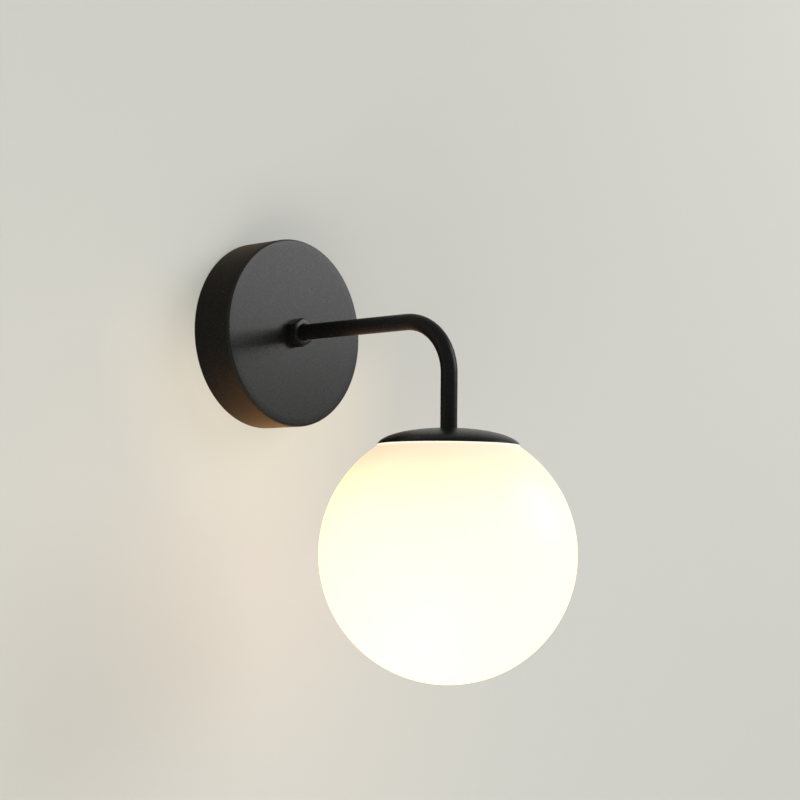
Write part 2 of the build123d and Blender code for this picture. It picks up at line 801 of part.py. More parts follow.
with BuildPart() as holder_terminal_screws:
    with BuildSketch(Plane.YZ.offset(entry_bore_radius)):
        with Locations(
            (-arm_reach + post_reach, insert_top_z + post_height / 2),
            (-arm_reach - post_reach, insert_top_z + post_height / 2),
        ):
            Circle(1.2 - thread_clearance)
    extrude(amount=post_size / 2)
    with BuildSketch(Plane.YZ.offset(post_size / 2)):
        with Locations(
            (-arm_reach + post_reach, insert_top_z + post_height / 2),
            (-arm_reach - post_reach, insert_top_z + post_height / 2),
        ):
            Circle(2.0)
    extrude(amount=1.4)
    with BuildSketch(Plane.YZ.offset(post_size / 2 + 0.8)):
        with Locations(
            (-arm_reach + post_reach, insert_top_z + post_height / 2),
            (-arm_reach - post_reach, insert_top_z + post_height / 2),
        ):
            Rectangle(4.4, 0.6)
    extrude(amount=1.0, mode=Mode.SUBTRACT)
holder_terminal_screws.part.label = "holder_terminal_screws"
export_step(holder_terminal_screws.part, "parts/holder_terminal_screws.step")

# Centre contact: a stem through the insert ends in a sprung tongue over the bulb's tip.
with BuildPart() as centre_contact:
    with BuildSketch(lamp_plane):
        with BuildLine():
            FilletPolyline(
                (-5.5, insert_z - 0.25),
                (3.0, insert_z - 0.25),
                (5.2, insert_z - 0.9),
                (3.0, contact_z + 0.25),
                (-3.5, contact_z + 0.25),
                radius=[0.6, 0.4, 0.6],
            )
        trace(line_width=0.5)
    extrude(amount=2.5, both=True)
    with BuildSketch(lamp_level(insert_z - 0.1)):
        Circle(1.5)
    extrude(amount=insert_thickness + 0.6)
centre_contact.part.label = "centre_contact"
export_step(centre_contact.part, "parts/centre_contact.step")

# Side contact: a leaf down through the insert that touches the bulb's metal shell
side_leaf_y = -arm_reach - side_leaf_radius - side_leaf_thickness
with BuildPart() as side_contact:
    with BuildSketch(Plane.YZ):
        with BuildLine():
            Polyline(
                (side_leaf_y, insert_top_z + 0.6),
                (side_leaf_y, insert_z - 7.0),
                (side_leaf_y + side_leaf_thickness, insert_z - 7.0),
                (side_leaf_y + side_leaf_thickness, insert_top_z + 0.6),
                close=True,
            )
        make_face()
    extrude(amount=2.0, both=True)
side_contact.part.label = "side_contact"
export_step(side_contact.part, "parts/side_contact.step")


def helical_ridge(start_z, radius, root_radius, root_half_width, crest_radius, crest_half_width):
    """Right-hand helical ridge round the lamp axis, four-sided in section, added to the part."""
    with BuildLine() as route:
        Helix(lamp_pitch, thread_turns * lamp_pitch, radius, center=(0, -arm_reach, start_z))
    start = route.line @ 0
    section_plane = Plane(origin=start, x_dir=(1, 0, 0), z_dir=route.line % 0)
    with BuildSketch(section_plane) as section:
        with BuildLine():
            Polyline(
                (root_radius - radius, -root_half_width),
                (crest_radius - radius, -crest_half_width),
                (crest_radius - radius, crest_half_width),
                (root_radius - radius, root_half_width),
                close=True,
            )
        make_face()
    sweep(section.sketch, path=route.line, is_frenet=True)


# Socket shell with the female thread: its ridge runs half a pitch away from the bulb's.
bulb_thread_z = bulb_top_z - 7.5 - thread_turns * lamp_pitch
socket_thread_z = bulb_thread_z - lamp_pitch / 2
shell_radius = holder_radius - 1.4
with BuildPart() as holder_shell:
    with BuildSketch(lamp_plane):
        with BuildLine():
            Polyline(
                (socket_bore_radius, insert_z),
                (insert_radius, insert_z),
                (insert_radius, insert_z - 3.2),
                (shell_radius, insert_z - 3.2),
                (shell_radius, holder_rim_z + 2.5),
                (holder_radius, holder_rim_z + 2.5),
                (holder_radius, holder_rim_z),
                (socket_bore_radius, holder_rim_z),
                close=True,
            )
        make_face()
    revolve(axis=lamp_axis)
    with BuildSketch(lamp_level(holder_rim_z + 2.5)):
        with PolarLocations(shell_radius, 24):
            Rectangle(1.2, 1.6)
    extrude(amount=insert_z - 4.2 - holder_rim_z - 2.5)
    helical_ridge(
        socket_thread_z, socket_bore_radius, socket_bore_radius + 0.3, 0.9, socket_ridge_radius, 0.4
    )
holder_shell.part.label = "holder_shell"
export_step(holder_shell.part, "parts/holder_shell.step")

# ----------------------------------------------------------------------------------- bulb
tip_radius = 4.6
tip_height = 1.6
tip_stem_radius = 1.5
insulator_top_z = bulb_top_z - tip_height
lamp_shell_top_z = bulb_top_z - 3.6
lamp_shell_bottom_z = lamp_shell_top_z - lamp_shell_length
lamp_shell_inner_radius = lamp_core_radius - lamp_shell_wall
shell_lip_radius = lamp_core_radius - 2.6
with BuildPart() as bulb_tip_contact:
    with BuildSketch(lamp_plane):
        with BuildLine():
            Line((0, bulb_top_z), (tip_radius - 1.4, bulb_top_z))
            ThreePointArc(
                (tip_radius - 1.4, bulb_top_z),
                (tip_radius - 0.35, bulb_top_z - 0.5),
                (tip_radius, insulator_top_z + fit_clearance),
            )
            Polyline(
                (tip_radius, insulator_top_z + fit_clearance),
                (tip_stem_radius, insulator_top_z + fit_clearance),
                (tip_stem_radius, insulator_top_z - 3.0),
                (0, insulator_top_z - 3.0),
                (0, bulb_top_z),
            )
        make_face()
    revolve(axis=lamp_axis)
bulb_tip_contact.part.label = "bulb_tip_contact"
export_step(bulb_tip_contact.part, "parts/bulb_tip_contact.step")

with BuildPart() as bulb_insulator:
    with BuildSketch(lamp_plane):
        with BuildLine():
            Polyline(
                (tip_stem_radius + fit_clearance, insulator_top_z),
                (tip_radius + 0.8, insulator_top_z),
                (shell_lip_radius - fit_clearance, lamp_shell_top_z + 0.2),
                (shell_lip_radius - fit_clearance, lamp_shell_top_z - lamp_shell_wall),
                (lamp_shell_inner_radius - fit_clearance, lamp_shell_top_z - lamp_shell_wall),
                (lamp_shell_inner_radius - fit_clearance, lamp_shell_top_z - 2.4),
                (tip_stem_radius + fit_clearance, lamp_shell_top_z - 2.4),
                close=True,
            )
        make_face()
    revolve(axis=lamp_axis)
bulb_insulator.part.label = "bulb_insulator"
export_step(bulb_insulator.part, "parts/bulb_insulator.step")

with BuildPart() as bulb_screw_shell:
    with BuildSketch(lamp_plane):
        with BuildLine():
            Polyline(
                (shell_lip_radius, lamp_shell_top_z),
                (lamp_core_radius, lamp_shell_top_z),
                (lamp_core_radius, lamp_shell_bottom_z),
                (lamp_shell_inner_radius, lamp_shell_bottom_z),
                (lamp_shell_inner_radius, lamp_shell_top_z - lamp_shell_wall),
                (shell_lip_radius, lamp_shell_top_z - lamp_shell_wall),
                close=True,
            )
        make_face()
    revolve(axis=lamp_axis)
    shoulder = bulb_screw_shell.edges().filter_by(GeomType.CIRCLE).sort_by_distance(
        (lamp_core_radius, -arm_reach, lamp_shell_top_z)
    )[0]
    fillet(shoulder, radius=lamp_shell_wall * 0.8)
    helical_ridge(
        bulb_thread_z, lamp_core_radius, lamp_core_radius - 0.3, 1.1, lamp_ridge_radius, 0.55
    )
bulb_screw_shell.part.label = "bulb_screw_shell"
export_step(bulb_screw_shell.part, "parts/bulb_screw_shell.step")

# Tapered body from the screw shell to the dome
dome_seat_radius = bulb_radius - 2.0
dome_centre_z = bulb_bottom_z + bulb_radius
dome_seat_z = dome_centre_z + sphere_height(dome_seat_radius, bulb_radius)
collar_z = min(lamp_shell_bottom_z, holder_rim_z) - 1.0
collar_radius = lamp_core_radius + 1.5
body_inner_radius = lamp_shell_inner_radius - fit_clearance
with BuildPart() as bulb_body:
    with BuildSketch(lamp_plane):
        with BuildLine():
            Polyline(
                (body_inner_radius - 1.5, lamp_shell_bottom_z + 7.0),
                (body_inner_radius, lamp_shell_bottom_z + 7.0),
                (body_inner_radius, lamp_shell_bottom_z),
                (lamp_core_radius, lamp_shell_bottom_z),
                (lamp_core_radius, collar_z),
                (collar_radius, collar_z),
                (collar_radius, collar_z - 2.0),
            )
            Spline(
                (collar_radius, collar_z - 2.0),
                (dome_seat_radius, dome_seat_z),
                tangents=[(0, -1), (0.42, -0.91)],
            )
            Polyline(
                (dome_seat_radius, dome_seat_z),
                (dome_seat_radius - 1.6, dome_seat_z),
                (body_inner_radius - 1.5, collar_z - 2.5),
                (body_inner_radius - 1.5, lamp_shell_bottom_z + 7.0),
            )
        make_face()
    revolve(axis=lamp_axis)
bulb_body.part.label = "bulb_body"
export_step(bulb_body.part, "parts/bulb_body.step")

board_thickness = 1.6
board_radius = dome_seat_radius - 2.6
board_z = dome_seat_z - board_thickness
with BuildPart() as led_board:
    with BuildSketch(lamp_level(board_z)):
        Circle(board_radius)
    extrude(amount=board_thickness)
led_board.part.label = "led_board"
export_step(led_board.part, "parts/led_board.step")

chip_size = 3.0
chip_height = 0.8
with BuildPart() as led_chips:
    with BuildSketch(lamp_level(board_z)):
        with PolarLocations(board_radius * 0.62, 8):
            Rectangle(chip_size, chip_size)
    extrude(amount=-chip_height)
led_chips.part.label = "led_chips"
export_step(led_chips.part, "parts/led_chips.step")

driver_length = 22.0
with BuildPart() as driver_board:
    with BuildSketch(lamp_level(board_z + board_thickness)):
        Rectangle(14.0, 1.2)
    extrude(amount=driver_length)
    with BuildSketch(lamp_level(board_z + board_thickness + 3.0)):
        with Locations((3.5, 3.6)):
            Circle(3.0)
    extrude(amount=11.0)
    with BuildSketch(lamp_level(board_z + board_thickness + 4.0)):
        with Locations((-3.0, -2.1)):
            Rectangle(6.0, 3.2)
    extrude(amount=8.0)
driver_board.part.label = "driver_board"
export_step(driver_board.part, "parts/driver_board.step")

with BuildPart() as bulb_dome:
    with BuildSketch(lamp_plane):
        with Locations((0, dome_centre_z)):
            Circle(bulb_radius)
            Circle(bulb_radius - bulb_wall, mode=Mode.SUBTRACT)
        with Locations((bulb_radius, dome_seat_z - bulb_radius * 2)):
            Rectangle(2 * bulb_radius, 4 * bulb_radius, mode=Mode.INTERSECT)
    revolve(axis=lamp_axis)
bulb_dome.part.label = "bulb_dome"
export_step(bulb_dome.part, "parts/bulb_dome.step")

# ---------------------------------------------------------------------------------- globe
with BuildPart() as globe_glass:
    with Locations((0, -arm_reach, globe_z)):
        Sphere(globe_radius)
        Sphere(glass_inner_radius, mode=Mode.SUBTRACT)
    with BuildSketch(lamp_level(globe_z)):
        Circle(mouth_radius)
    extrude(amount=globe_radius + 1, mode=Mode.SUBTRACT)
    fillet(globe_glass.edges().filter_by(GeomType.CIRCLE).group_by(Axis.Z)[-1], mouth_edge_radius)
globe_glass.part.label = "globe_glass"
export_step(globe_glass.part, "parts/globe_glass.step")

# ---------------------------------------------------------------------------------- wires
feed_bend = min(6.0, bushing_depth - entry_depth - 0.5)
loop_reach = {lower_offset: 38.0, upper_offset: 30.0}


def lamp_wire_route(offset_z, pole_z, post_y):
    """Centre line of a lamp wire: terminal block, slack loop, tube, nipple, holder post."""
    loop_x = -loop_reach[offset_z]
    loop_bend = min(11.0, 0.45 * (pole_z - offset_z))
    drop_y = -(arm_reach + offset_z)
    spread_z = nipple_end_z - 1.6
    points = [
        (-clamp_screw_x + 1.5, -entry_depth, pole_z),
        (loop_x, -entry_depth, pole_z),
        (loop_x, -entry_depth, offset_z),
        (0, -entry_depth, offset_z),
        (0, drop_y, offset_z),
        (0, drop_y, spread_z),
        (0, post_y, spread_z - 4.0),
        (0, post_y, insert_top_z + post_height - 1.5),
    ]
    radii = [loop_bend, loop_bend, feed_bend, bend_radius + offset_z, 2.4, 2.4]
    return FilletPolyline(*points, radius=radii)


with BuildPart() as live_wire:
    with BuildLine() as live_route:
        lamp_wire_route(lower_offset, pole_levels[1], -arm_reach + post_reach)
    with BuildSketch(Plane(origin=live_route.line @ 0, z_dir=live_route.line % 0)):
        Circle(wire_radius)
    sweep(path=live_route.line)
live_wire.part.label = "live_wire"
export_step(live_wire.part, "parts/live_wire.step")

with BuildPart() as neutral_wire:
    with BuildLine() as neutral_route:
        lamp_wire_route(upper_offset, pole_levels[0], -arm_reach - post_reach)
    with BuildSketch(Plane(origin=neutral_route.line @ 0, z_dir=neutral_route.line % 0)):
        Circle(wire_radius)
    sweep(path=neutral_route.line)
neutral_wire.part.label = "neutral_wire"
export_step(neutral_wire.part, "parts/neutral_wire.step")

earth_loop_x = 38.0
earth_bend = 0.42 * sqrt((tag_barrel_depth - ring_barrel_depth) ** 2 + earth_z ** 2)
with BuildPart() as earth_wire:
    with BuildLine() as earth_route:
        FilletPolyline(
            (tag_barrel_x + 2.0, -tag_barrel_depth, 0),
            (earth_loop_x, -tag_barrel_depth, 0),
            (earth_loop_x, -ring_barrel_depth, earth_z),
            (ring_barrel_x + 2.0, -ring_barrel_depth, earth_z),
            radius=earth_bend,
        )
    with BuildSketch(Plane(origin=earth_route.line @ 0, z_dir=earth_route.line % 0)):
        Circle(wire_radius)
    sweep(path=earth_route.line)
earth_wire.part.label = "earth_wire"
export_step(earth_wire.part, "parts/earth_wire.step")
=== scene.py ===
"""Globe wall sconce: turned and bent metalwork, opal glass and the finishes of every piece."""

import logging
import math
from collections.abc import Callable, Iterable
from dataclasses import dataclass, field, replace
from enum import Enum

import bmesh
import bpy
from mathutils import Matrix, Vector


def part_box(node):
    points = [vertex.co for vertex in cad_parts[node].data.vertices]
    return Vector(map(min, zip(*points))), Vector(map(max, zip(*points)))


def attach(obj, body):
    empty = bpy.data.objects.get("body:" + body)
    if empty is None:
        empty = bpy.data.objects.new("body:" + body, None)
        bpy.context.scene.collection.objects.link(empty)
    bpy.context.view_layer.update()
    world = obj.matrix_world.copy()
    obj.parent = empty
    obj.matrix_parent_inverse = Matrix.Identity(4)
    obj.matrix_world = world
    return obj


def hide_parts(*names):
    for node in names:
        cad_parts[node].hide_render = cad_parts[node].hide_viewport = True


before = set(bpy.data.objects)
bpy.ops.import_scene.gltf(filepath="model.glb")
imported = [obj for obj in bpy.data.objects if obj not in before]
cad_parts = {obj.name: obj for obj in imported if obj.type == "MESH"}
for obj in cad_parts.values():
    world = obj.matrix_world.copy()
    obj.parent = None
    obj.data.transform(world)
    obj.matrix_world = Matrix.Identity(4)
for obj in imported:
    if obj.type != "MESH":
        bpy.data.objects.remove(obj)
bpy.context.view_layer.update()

MM = 0.001
QUARTER_TURN = math.pi / 2
MERGE_DISTANCE = 0.000002
SHARP_ANGLE = math.radians(32)
DRILL_SIDES = 48
OFF_MIDDLE = 0.00001
PHOTO_PIXELS = 800
SENSOR_MM = 36.0

Ring = tuple[float, float]
Span = tuple[float, float]
Point = tuple[float, float, float]
Colour = tuple[float, float, float]

# Noise stays near its middle, so a pattern runs over a part of its range.
WIDE_NOISE: Span = (0.3, 0.7)
NARROW_NOISE: Span = (0.35, 0.65)
# Cosine of the angle between the rounded and the true normal, on a flat and on a corner.
CORNER_COSINES: Span = (0.97, 0.82)

log = logging.getLogger("sconce")


class Facing(Enum):
    """Which way a turned piece's own axis points once it is in place."""

    LAMP = "up, on the lamp's axis"
    WALL = "out of the wall, on the canopy's axis"


class Body(Enum):
    """The bodies that pieces ride on."""

    FIXED = "root"
    GLOBE = "globe"
    BULB = "bulb"


class Cut(Enum):
    """What a tool object does to a piece."""

    AWAY = "DIFFERENCE"
    TRIM = "INTERSECT"


class Joining(Enum):
    """How two values in a material are put together."""

    TIMES = "MULTIPLY"
    HIGHEST = "MAXIMUM"


# ------------------------------------------------------------------------------ sections


class Section:
    """Points of a section, as radius or reach first and level second, in millimetres."""

    @staticmethod
    def arc(centre: Ring, radii: Ring, start: float, end: float, steps: int) -> list[Ring]:
        """Lays out an elliptical arc.

        Args:
            centre: Middle of the ellipse.
            radii: Half width and half height.
            start: First angle in degrees, from the outward direction.
            end: Last angle in degrees.
            steps: Number of stretches between points.

        Returns:
            The points from the first angle to the last.
        """
        points = []
        for step in range(steps + 1):
            angle = math.radians(start + (end - start) * step / steps)
            points.append(
                (centre[0] + radii[0] * math.cos(angle), centre[1] + radii[1] * math.sin(angle))
            )
        return points

    @staticmethod
    def rounded(corners: list[Ring], radii: list[float], steps: int = 6) -> list[Ring]:
        """Rounds the corners of a polyline.

        Args:
            corners: The polyline's corners.
            radii: A radius for each corner between the ends.
            steps: Number of stretches in each rounding.

        Returns:
            The points of the rounded line, ends included.
        """
        points = [corners[0]]
        for before, corner, after, radius in zip(corners, corners[1:], corners[2:], radii):
            here = Vector(corner)
            back = (Vector(before) - here).normalized()
            ahead = (Vector(after) - here).normalized()
            half = back.angle(ahead) / 2
            middle = here + (back + ahead).normalized() * (radius / math.sin(half))
            first = here + back * (radius / math.tan(half)) - middle
            last = here + ahead * (radius / math.tan(half)) - middle
            for step in range(steps + 1):
                way = first.lerp(last, step / steps).normalized() * radius
                points.append(tuple(middle + way))
        points.append(corners[-1])
        return points


# ------------------------------------------------------------------------- modelling bench


class Bench:
    """Modelling steps made with Blender's own operators, as by hand."""

    @staticmethod
    def clear() -> None:
        """Leaves edit mode and deselects everything."""
        if bpy.context.object and bpy.context.object.mode != "OBJECT":
            bpy.ops.object.mode_set(mode="OBJECT")
        bpy.ops.object.select_all(action="DESELECT")

    @staticmethod
    def take(piece: bpy.types.Object) -> None:
        """Selects one piece alone and makes it active.

        Args:
            piece: The piece.
        """
        Bench.clear()
        piece.select_set(True)
        bpy.context.view_layer.objects.active = piece

    @staticmethod
    def pick(test: Callable[[Vector], bool]) -> None:
        """Selects, in edit mode, the vertices of the active piece that pass a test of place.

        Args:
            test: Tells from a vertex's place whether it is selected.
        """
        mesh = bmesh.from_edit_mesh(bpy.context.object.data)
        for vertex in mesh.verts:
            vertex.select = test(vertex.co)
        mesh.select_flush(True)
        mesh.select_flush(False)
        bmesh.update_edit_mesh(bpy.context.object.data)

    @staticmethod
    def draw_out(start: Ring, rings: Iterable[Ring]) -> None:
        """Draws the selected ring of edges out through further rings.

        Args:
            start: Radius and level of the selected ring, in millimetres.
            rings: Radius and level of each further ring. A radius of zero closes to a pole.
        """
        radius, level = start
        for next_radius, next_level in rings:
            rise = (0, 0, (next_level - level) * MM)
            bpy.ops.mesh.extrude_edges_move(TRANSFORM_OT_translate={"value": rise})
            if next_radius == 0:
                bpy.ops.mesh.merge(type="CENTER")
                return
            scale = next_radius / radius
            bpy.ops.transform.resize(value=(scale, scale, 1), center_override=(0, 0, 0))
            radius, level = next_radius, next_level

    @staticmethod
    def turned(
        name: str,
        outside: list[Ring],
        inside: list[Ring] | None = None,
        facing: Facing = Facing.LAMP,
        segments: int = 128,
        corner: float = 0.0,
    ) -> bpy.types.Object:
        """Turns a piece from a section, ring by ring.

        Args:
            name: The piece's name.
            outside: Rings from the first one on. Without an inside the last is joined to the first.
            inside: Rings drawn out from the first ring the other way, for a hollow with a pole.
            facing: The axis that the piece is placed on.
            segments: Number of sides.
            corner: Width in millimetres of the bevel on sharp corners, or zero for none.

        Returns:
            The finished piece, with its place in its mesh.
        """
        Bench.clear()
        radius, level = outside[0]
        bpy.ops.mesh.primitive_circle_add(
            vertices=segments, radius=radius * MM, location=(0, 0, level * MM)
        )
        piece = Bench.named(name)
        bpy.ops.object.mode_set(mode="EDIT")
        bpy.ops.mesh.select_mode(type="EDGE")
        bpy.ops.mesh.select_all(action="SELECT")
        Bench.draw_out(outside[0], outside[1:])
        bpy.ops.mesh.select_all(action="DESELECT")
        bpy.ops.mesh.select_mode(type="EDGE")
        bpy.ops.mesh.select_non_manifold()
        if inside is None:
            bpy.ops.mesh.bridge_edge_loops()
        else:
            Bench.draw_out(outside[0], inside)
        bpy.ops.object.mode_set(mode="OBJECT")
        if facing is Facing.WALL:
            Bench.settle(piece)
            piece.rotation_euler = (QUARTER_TURN, 0, 0)
        else:
            piece.location.y = LAMP_AXIS_Y
        return Bench.finished(piece, corner)

    @staticmethod
    def named(name: str) -> bpy.types.Object:
        """Names the active object and its mesh.

        Args:
            name: The name.

        Returns:
            The object.
        """
        piece = bpy.context.object
        piece.name = name
        piece.data.name = name
        return piece

    @staticmethod
    def strip(name: str, route: list[Ring], width: float, thickness: float) -> bpy.types.Object:
        """Bends a strip of sheet metal along a route.

        Args:
            name: The piece's name.
            route: Middle line of the strip, as reach along X and level along Z, in millimetres.
            width: Width along Y in millimetres.
            thickness: Sheet thickness in millimetres.

        Returns:
            The strip, still to be placed and finished.
        """
        Bench.clear()
        half = width * MM / 2
        bpy.ops.mesh.primitive_plane_add(size=width * MM)
        piece = Bench.named(name)
        bpy.ops.object.mode_set(mode="EDIT")
        bpy.ops.mesh.select_mode(type="VERT")
        Bench.pick(lambda place: place.x < 0)
        bpy.ops.mesh.delete(type="VERT")
        bpy.ops.mesh.select_all(action="SELECT")
        reach, level = route[0]
        bpy.ops.transform.translate(value=(reach * MM - half, 0, level * MM))
        for next_reach, next_level in route[1:]:
            step = ((next_reach - reach) * MM, 0, (next_level - level) * MM)
            bpy.ops.mesh.extrude_edges_move(TRANSFORM_OT_translate={"value": step})
            reach, level = next_reach, next_level
        bpy.ops.object.mode_set(mode="OBJECT")
        Bench.modify(piece, "SOLIDIFY", thickness=thickness * MM, offset=0, use_even_offset=True)
        return piece

    @staticmethod
    def modify(piece: bpy.types.Object, kind: str, **settings: object) -> None:
        """Adds a modifier to a piece, sets it up and applies it.

        Args:
            piece: The piece.
            kind: The modifier's type.
            settings: Values for the modifier's own settings.
        """
        Bench.take(piece)
        modifier = piece.modifiers.new(kind.title(), kind)
        for setting, value in settings.items():
            setattr(modifier, setting, value)
        bpy.ops.object.modifier_apply(modifier=modifier.name)

    @staticmethod
    def combine(piece: bpy.types.Object, tool: bpy.types.Object, cut: Cut) -> None:
        """Cuts or trims a piece with a tool object, then throws the tool away."""
        Bench.modify(piece, "BOOLEAN", object=tool, operation=cut.value, solver="EXACT")
        bpy.data.objects.remove(tool)

    @staticmethod
    def drill(
        piece: bpy.types.Object,
        centre: Point,
        radius: float,
        length: float,
        facing: Facing,
        stretch: float = 0.0,
    ) -> None:
        """Drills a round hole, or an upright slot where a stretch is given.

        Args:
            piece: The piece to drill.
            centre: Middle of the hole in millimetres.
            radius: Radius of the hole in millimetres.
            length: Length of the drill in millimetres.
            facing: The direction of the drill.
            stretch: Distance between the slot's two end centres in millimetres.
        """
        Bench.clear()
        turn = (QUARTER_TURN, 0, 0) if facing is Facing.WALL else (0, 0, 0)
        bpy.ops.mesh.primitive_cylinder_add(
            vertices=DRILL_SIDES, radius=radius * MM, depth=length * MM, rotation=turn
        )
        tool = Bench.named("drill")
        Bench.settle(tool)
        if stretch:
            bpy.ops.object.mode_set(mode="EDIT")
            bpy.ops.mesh.select_mode(type="VERT")
            for side in (1, -1):
                Bench.pick(lambda place, side=side: place.z * side > OFF_MIDDLE)
                bpy.ops.transform.translate(value=(0, 0, side * stretch * MM / 2))
            bpy.ops.object.mode_set(mode="OBJECT")
        tool.location = Vector(centre) * MM
        Bench.settle(tool)
        Bench.combine(piece, tool, Cut.AWAY)

    @staticmethod
    def settle(piece: bpy.types.Object) -> None:
        """Moves a piece's place, turn and size into its mesh."""
        Bench.take(piece)
        bpy.ops.object.transform_apply(location=True, rotation=True, scale=True)

    @staticmethod
    def finished(piece: bpy.types.Object, corner: float = 0.0) -> bpy.types.Object:
        """Settles a piece, turns its faces outwards, breaks its corners and smooths it.

        Args:
            piece: The piece.
            corner: Width in millimetres of the bevel on sharp corners, or zero for none.

        Returns:
            The same piece.
        """
        Bench.settle(piece)
        bpy.ops.object.mode_set(mode="EDIT")
        bpy.ops.mesh.select_all(action="SELECT")
        bpy.ops.mesh.remove_doubles(threshold=MERGE_DISTANCE)
        bpy.ops.mesh.normals_make_consistent(inside=False)
        bpy.ops.object.mode_set(mode="OBJECT")
        if corner:
            Bench.modify(
                piece,
                "BEVEL",
                width=corner * MM,
                segments=2,
                limit_method="ANGLE",
                angle_limit=SHARP_ANGLE,
                use_clamp_overlap=True,
            )
        Bench.take(piece)
        bpy.ops.object.shade_smooth_by_angle(angle=SHARP_ANGLE)
        return piece

    @staticmethod
    def copied(piece: bpy.types.Object) -> bpy.types.Object:
        """Copies a piece.

        Args:
            piece: The piece.

        Returns:
            The copy, with a mesh of its own.
        """
        Bench.take(piece)
        bpy.ops.object.duplicate(linked=False)
        return bpy.context.object

    @staticmethod
    def joined(pieces: list[bpy.types.Object], name: str) -> bpy.types.Object:
        """Joins several pieces into the first of them.

        Args:
            pieces: The pieces.
            name: The joined piece's name.

        Returns:
            The joined piece.
        """
        Bench.take(pieces[0])
        for piece in pieces:
            piece.select_set(True)
        bpy.ops.object.join()
        return Bench.named(name)


# ------------------------------------------------------------------------------- finishes


